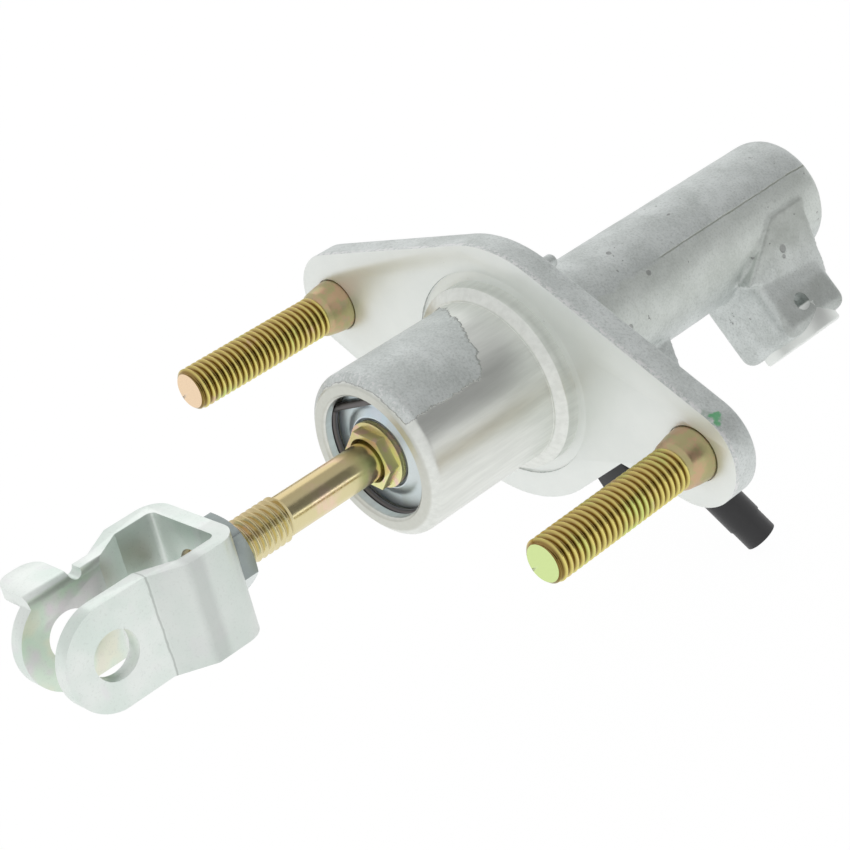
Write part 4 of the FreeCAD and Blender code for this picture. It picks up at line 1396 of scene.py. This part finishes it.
@dataclass
class Stud:
    """One mounting stud: thread, shank and flared collar."""

    side: str
    place: float
    reach: float = 35.4
    thread_end: float = -5.6
    shank: float = 3.95
    collar: float = 4.9
    seat: float = 0.25

    def build(self, finish: bpy.types.Material) -> None:
        """Build and dress the stud.

        Args:
            finish: its plating.
        """
        name = "stud_" + self.side
        thread = ThreadForm().cut_rod(name + "_thread", -self.reach, self.thread_end + 0.6, 0.75)
        shank = turned(name + "_shank", softened([
            (0.0, self.thread_end, 0.0), (3.4, self.thread_end, 0.0),
            (self.shank, self.thread_end + 0.5, 0.3), (4.32, -4.4, 0.8), (4.72, -2.2, 1.5),
            (self.collar, -0.6, 0.4), (self.collar, self.seat, 0.1), (0.0, self.seat, 0.0)], 6),
            steps=96)
        obj = joined(name, [shank, thread])
        put(obj, Matrix.Translation((self.place * MM, 0.0, 0.0)))
        finish_piece(obj, finish, Body.HOUSING, Slot.PLATED, "mounting_stud_" + self.side)


@dataclass
class MouthParts:
    """Stopper plate and snap ring in the mouth of the barrel."""

    seat: float = -26.9
    thick: float = 1.0
    dish: float = 1.3
    hole: float = 6.35
    bend: float = 8.2
    edge: float = 11.1

    def build(self, nodes: Nodes, finishes: Finishes) -> None:
        """Build the plate and dress the ring.

        Args:
            nodes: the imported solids.
            finishes: all finishes.
        """
        front = self.seat - self.thick
        plate = turned("stopper_plate_dished", softened([
            (self.hole, front - self.dish, 0.2), (self.bend, front, 1.6), (self.edge, front, 0.2),
            (self.edge, self.seat, 0.2), (self.bend, self.seat, 1.6),
            (self.hole, self.seat - self.dish, 0.2)], 4, True), closed=True)
        finish_piece(plate, finishes.plate, Body.HOUSING, Slot.ZINC, "stopper_plate")
        ring = copy_of(nodes["snap_ring"], "snap_ring_wire")
        smooth(ring, 60.0)
        finish_piece(ring, finishes.ring, Body.HOUSING, Slot.SPRING, "snap_ring")


@dataclass
class RodParts:
    """Pushrod, its collar, lock nut and clevis."""

    rod: float = 3.5
    thread_start: float = -51.6
    rod_end: float = -67.4
    ball_place: float = -25.0
    ball: float = 4.6

    def pushrod(self) -> Piece:
        """Build the rod with its ball and its thread.

        Returns:
            The piece.
        """
        thread = ThreadForm().cut_rod("rod_thread", self.rod_end, self.thread_start, 0.7)
        neck = -math.sqrt(self.ball ** 2 - self.rod ** 2)
        neck_turn = math.degrees(math.asin(neck / self.ball))
        ball = arc(Vector((0.0, self.ball_place)), self.ball, neck_turn, 90.0, 24)
        shank = turned("rod_shank", softened([
            (0.0, self.thread_start - 0.3, 0.0), (3.1, self.thread_start - 0.3, 0.0),
            (self.rod, self.thread_start + 0.5, 0.3), (self.rod, self.ball_place + neck, 0.0)],
            4) + ball, steps=96)
        return joined("pushrod_turned", [shank, thread])

    def build(self, nodes: Nodes, finishes: Finishes) -> None:
        """Build and dress everything between the piston and the pedal.

        Args:
            nodes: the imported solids.
            finishes: all finishes.
        """
        collar = rounded_copy(nodes["ball_collar"], "ball_collar_hex", 0.16, 2, 25.0)
        finish_piece(collar, finishes.collar, Body.COLLAR, Slot.PLATED, "ball_collar")
        finish_piece(self.pushrod(), finishes.rod, Body.ROD, Slot.PLATED, "pushrod")
        nut = rounded_copy(nodes["lock_nut"], "lock_nut_hex", 0.14, 2, 20.0)
        finish_piece(nut, finishes.nut, Body.ROD, Slot.ZINC, "lock_nut")
        clevis = rounded_copy(nodes["clevis"], "clevis_strap", 0.40, 3, 25.0)
        finish_piece(clevis, finishes.zinc, Body.ROD, Slot.ZINC, "clevis")


@dataclass
class Inlet:
    """Black connector with its nozzle and the block at its foot."""

    foot_low: Point = (8.2, 17.5, -4.2)
    foot_high: Point = (17.0, 26.9, 4.4)

    def build(self, nodes: Nodes, finishes: Finishes) -> None:
        """Dress the connector and add the block.

        Args:
            nodes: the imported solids.
            finishes: all finishes.
        """
        connector = rounded_copy(nodes["inlet_connector"], "inlet_nozzle_black", 0.25, 2, 35.0)
        finish_piece(connector, finishes.nylon, Body.HOUSING, Slot.NYLON, "inlet_connector")
        foot = block("inlet_foot_block", self.foot_low, self.foot_high)
        put(foot, turned_axes(INLET_TURN).to_4x4())
        bevelled(foot, 0.45, 3, 30.0)
        smooth(foot)
        finish_piece(foot, finishes.nylon, Body.HOUSING, Slot.NYLON)


def dress_hidden(nodes: Nodes, finishes: Finishes) -> None:
    """Give the solids that stay their finishes.

    Args:
        nodes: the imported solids.
        finishes: all finishes.
    """
    table = {
        "piston": finishes.alloy, "secondary_cup": finishes.rubber, "primary_cup": finishes.rubber,
        "cup_washer": finishes.zinc, "spring_seat": finishes.zinc, "return_spring": finishes.ring,
        "inlet_seal": finishes.rubber, "inlet_roll_pin": finishes.ring,
    }
    for name, material in table.items():
        mesh = nodes[name].data
        mesh.materials.clear()
        mesh.materials.append(material)


@dataclass(frozen=True)
class Card:
    """A card that only reflections show, square to the line from the object."""

    name: str
    way: Point
    far: float
    width: float
    height: float
    level: float

    def build(self) -> None:
        """Stand the card in its place, in metres from the object."""
        take()
        place = Vector(self.way).normalized() * self.far
        bpy.ops.mesh.primitive_plane_add(size=1.0)
        card = named_piece(self.name)
        turn = (-place).to_track_quat("Z", "Y").to_matrix().to_4x4()
        size = Matrix.Diagonal((self.width, self.height, 1.0, 1.0))
        put(card, Matrix.Translation(place) @ turn @ size)
        graph = Skin(self.name)
        graph.set(Base_Color=grey(self.level), Roughness=1.0, Metallic=0.0)
        card.data.materials.append(graph.material)
        card.visible_camera = False
        card.visible_shadow = False
        card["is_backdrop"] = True


@dataclass(frozen=True)
class Lamp:
    """A soft lamp that looks at the object, with its place and size in metres."""

    name: str
    place: Point
    width: float
    height: float
    power: float

    def build(self) -> None:
        """Hang the lamp."""
        take()
        bpy.ops.object.light_add(type="AREA", location=self.place)
        lamp = bpy.context.view_layer.objects.active
        lamp.name = self.name
        lamp.data.shape = "RECTANGLE"
        lamp.data.size = self.width
        lamp.data.size_y = self.height
        lamp.data.energy = self.power
        look = -Vector(self.place)
        lamp.rotation_euler = look.to_track_quat("-Z", "Y").to_euler()


@dataclass
class Studio:
    """Floor, light and camera."""

    floor_drop: float = 0.3
    floor_size: float = 6.0
    floor_glow: float = 1.02
    glow_share: float = 0.85
    glow_share_seen: float = 0.96
    fill: float = 0.70
    sky: float = 0.78
    cards: tuple[Card, ...] = (
        Card("dark_flag", (0.593, 0.546, 0.560), 1.5, 2.1, 1.15, 0.20),
        Card("upper_flag", (-0.05, 0.546, 0.836), 1.7, 1.8, 1.1, 0.66))
    lamps: tuple[Lamp, ...] = (
        Lamp("left_softbox", (-0.95, 0.55, 0.55), 0.8, 0.8, 0.9),
        Lamp("strip_softbox", (1.155, 0.764, 0.235), 1.1, 0.14, 0.55))

    def floor(self, low: float) -> None:
        """Lay a white floor under the object.

        Args:
            low: lowest point of the object, in metres.
        """
        take()
        bpy.ops.mesh.primitive_plane_add(size=self.floor_size)
        floor = named_piece("studio_floor")
        put(floor, Matrix.Translation((0.0, 0.0, low - self.floor_drop * MM)))
        graph = Skin("studio_white")
        graph.set(Base_Color=grey(0.86), Roughness=0.9, Metallic=0.0)
        seen = graph.add("ShaderNodeLightPath").outputs["Is Camera Ray"]
        share = graph.blend(seen, self.glow_share, self.glow_share_seen)
        glow = graph.add("ShaderNodeEmission", Color=grey(1.0), Strength=self.floor_glow)
        mixed = graph.run("ShaderNodeMixShader", {}, {
            0: share, 1: graph.shader.outputs[0], 2: glow.outputs[0]})
        graph.feed(graph.tree.nodes["Material Output"].inputs["Surface"], mixed)
        floor.data.materials.append(graph.material)
        floor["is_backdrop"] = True

    def world(self) -> None:
        """Light everything from a white surround, a little brighter where it is seen."""
        world = bpy.data.worlds.new("studio_surround")
        bpy.context.scene.world = world
        world.use_nodes = True
        graph = Graph(world.node_tree)
        rays = graph.add("ShaderNodeLightPath").outputs
        seen: object = rays["Is Camera Ray"]
        for kind in ("Is Glossy Ray", "Is Transmission Ray"):
            seen = graph.math("MAXIMUM", seen, rays[kind])
        background = world.node_tree.nodes["Background"].inputs
        graph.feed(background["Color"], grey(1.0))
        graph.feed(background["Strength"], graph.blend(seen, self.fill, self.sky))

    def camera(self) -> None:
        """Set the camera where the photograph was taken from."""
        data = bpy.data.cameras.new("photo_camera")
        camera = bpy.data.objects.new("photo_camera", data)
        bpy.context.scene.collection.objects.link(camera)
        data.lens = CAMERA_LENS
        data.sensor_width = 36.0
        data.clip_start = 0.005
        data.clip_end = 20.0
        axes = Matrix((CAMERA_RIGHT, -Vector(CAMERA_DOWN), -Vector(CAMERA_AHEAD))).transposed()
        camera.matrix_world = Matrix.Translation(CAMERA_PLACE) @ axes.to_4x4()
        bpy.context.scene.camera = camera

    def build(self, low: float) -> None:
        """Set up the whole studio.

        Args:
            low: lowest point of the object, in metres.
        """
        self.floor(low)
        self.world()
        for item in (*self.cards, *self.lamps):
            item.build()
        self.camera()
        bpy.context.scene.view_settings.view_transform = "Standard"


def main() -> None:
    """Build the object in order and set up the studio under it."""
    logging.basicConfig(level=logging.INFO, format="%(name)s %(message)s")
    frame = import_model()
    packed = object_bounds()
    nodes = frame["nodes"]
    finishes = Finishes()
    Casting().build(finishes)
    Stud("left", -STUD_PLACE).build(finishes.stud_left)
    Stud("right", STUD_PLACE).build(finishes.stud_right)
    MouthParts().build(nodes, finishes)
    RodParts().build(nodes, finishes)
    Inlet().build(nodes, finishes)
    dress_hidden(nodes, finishes)
    Studio().build(packed[0][2])


if __name__ == "__main__":
    main()
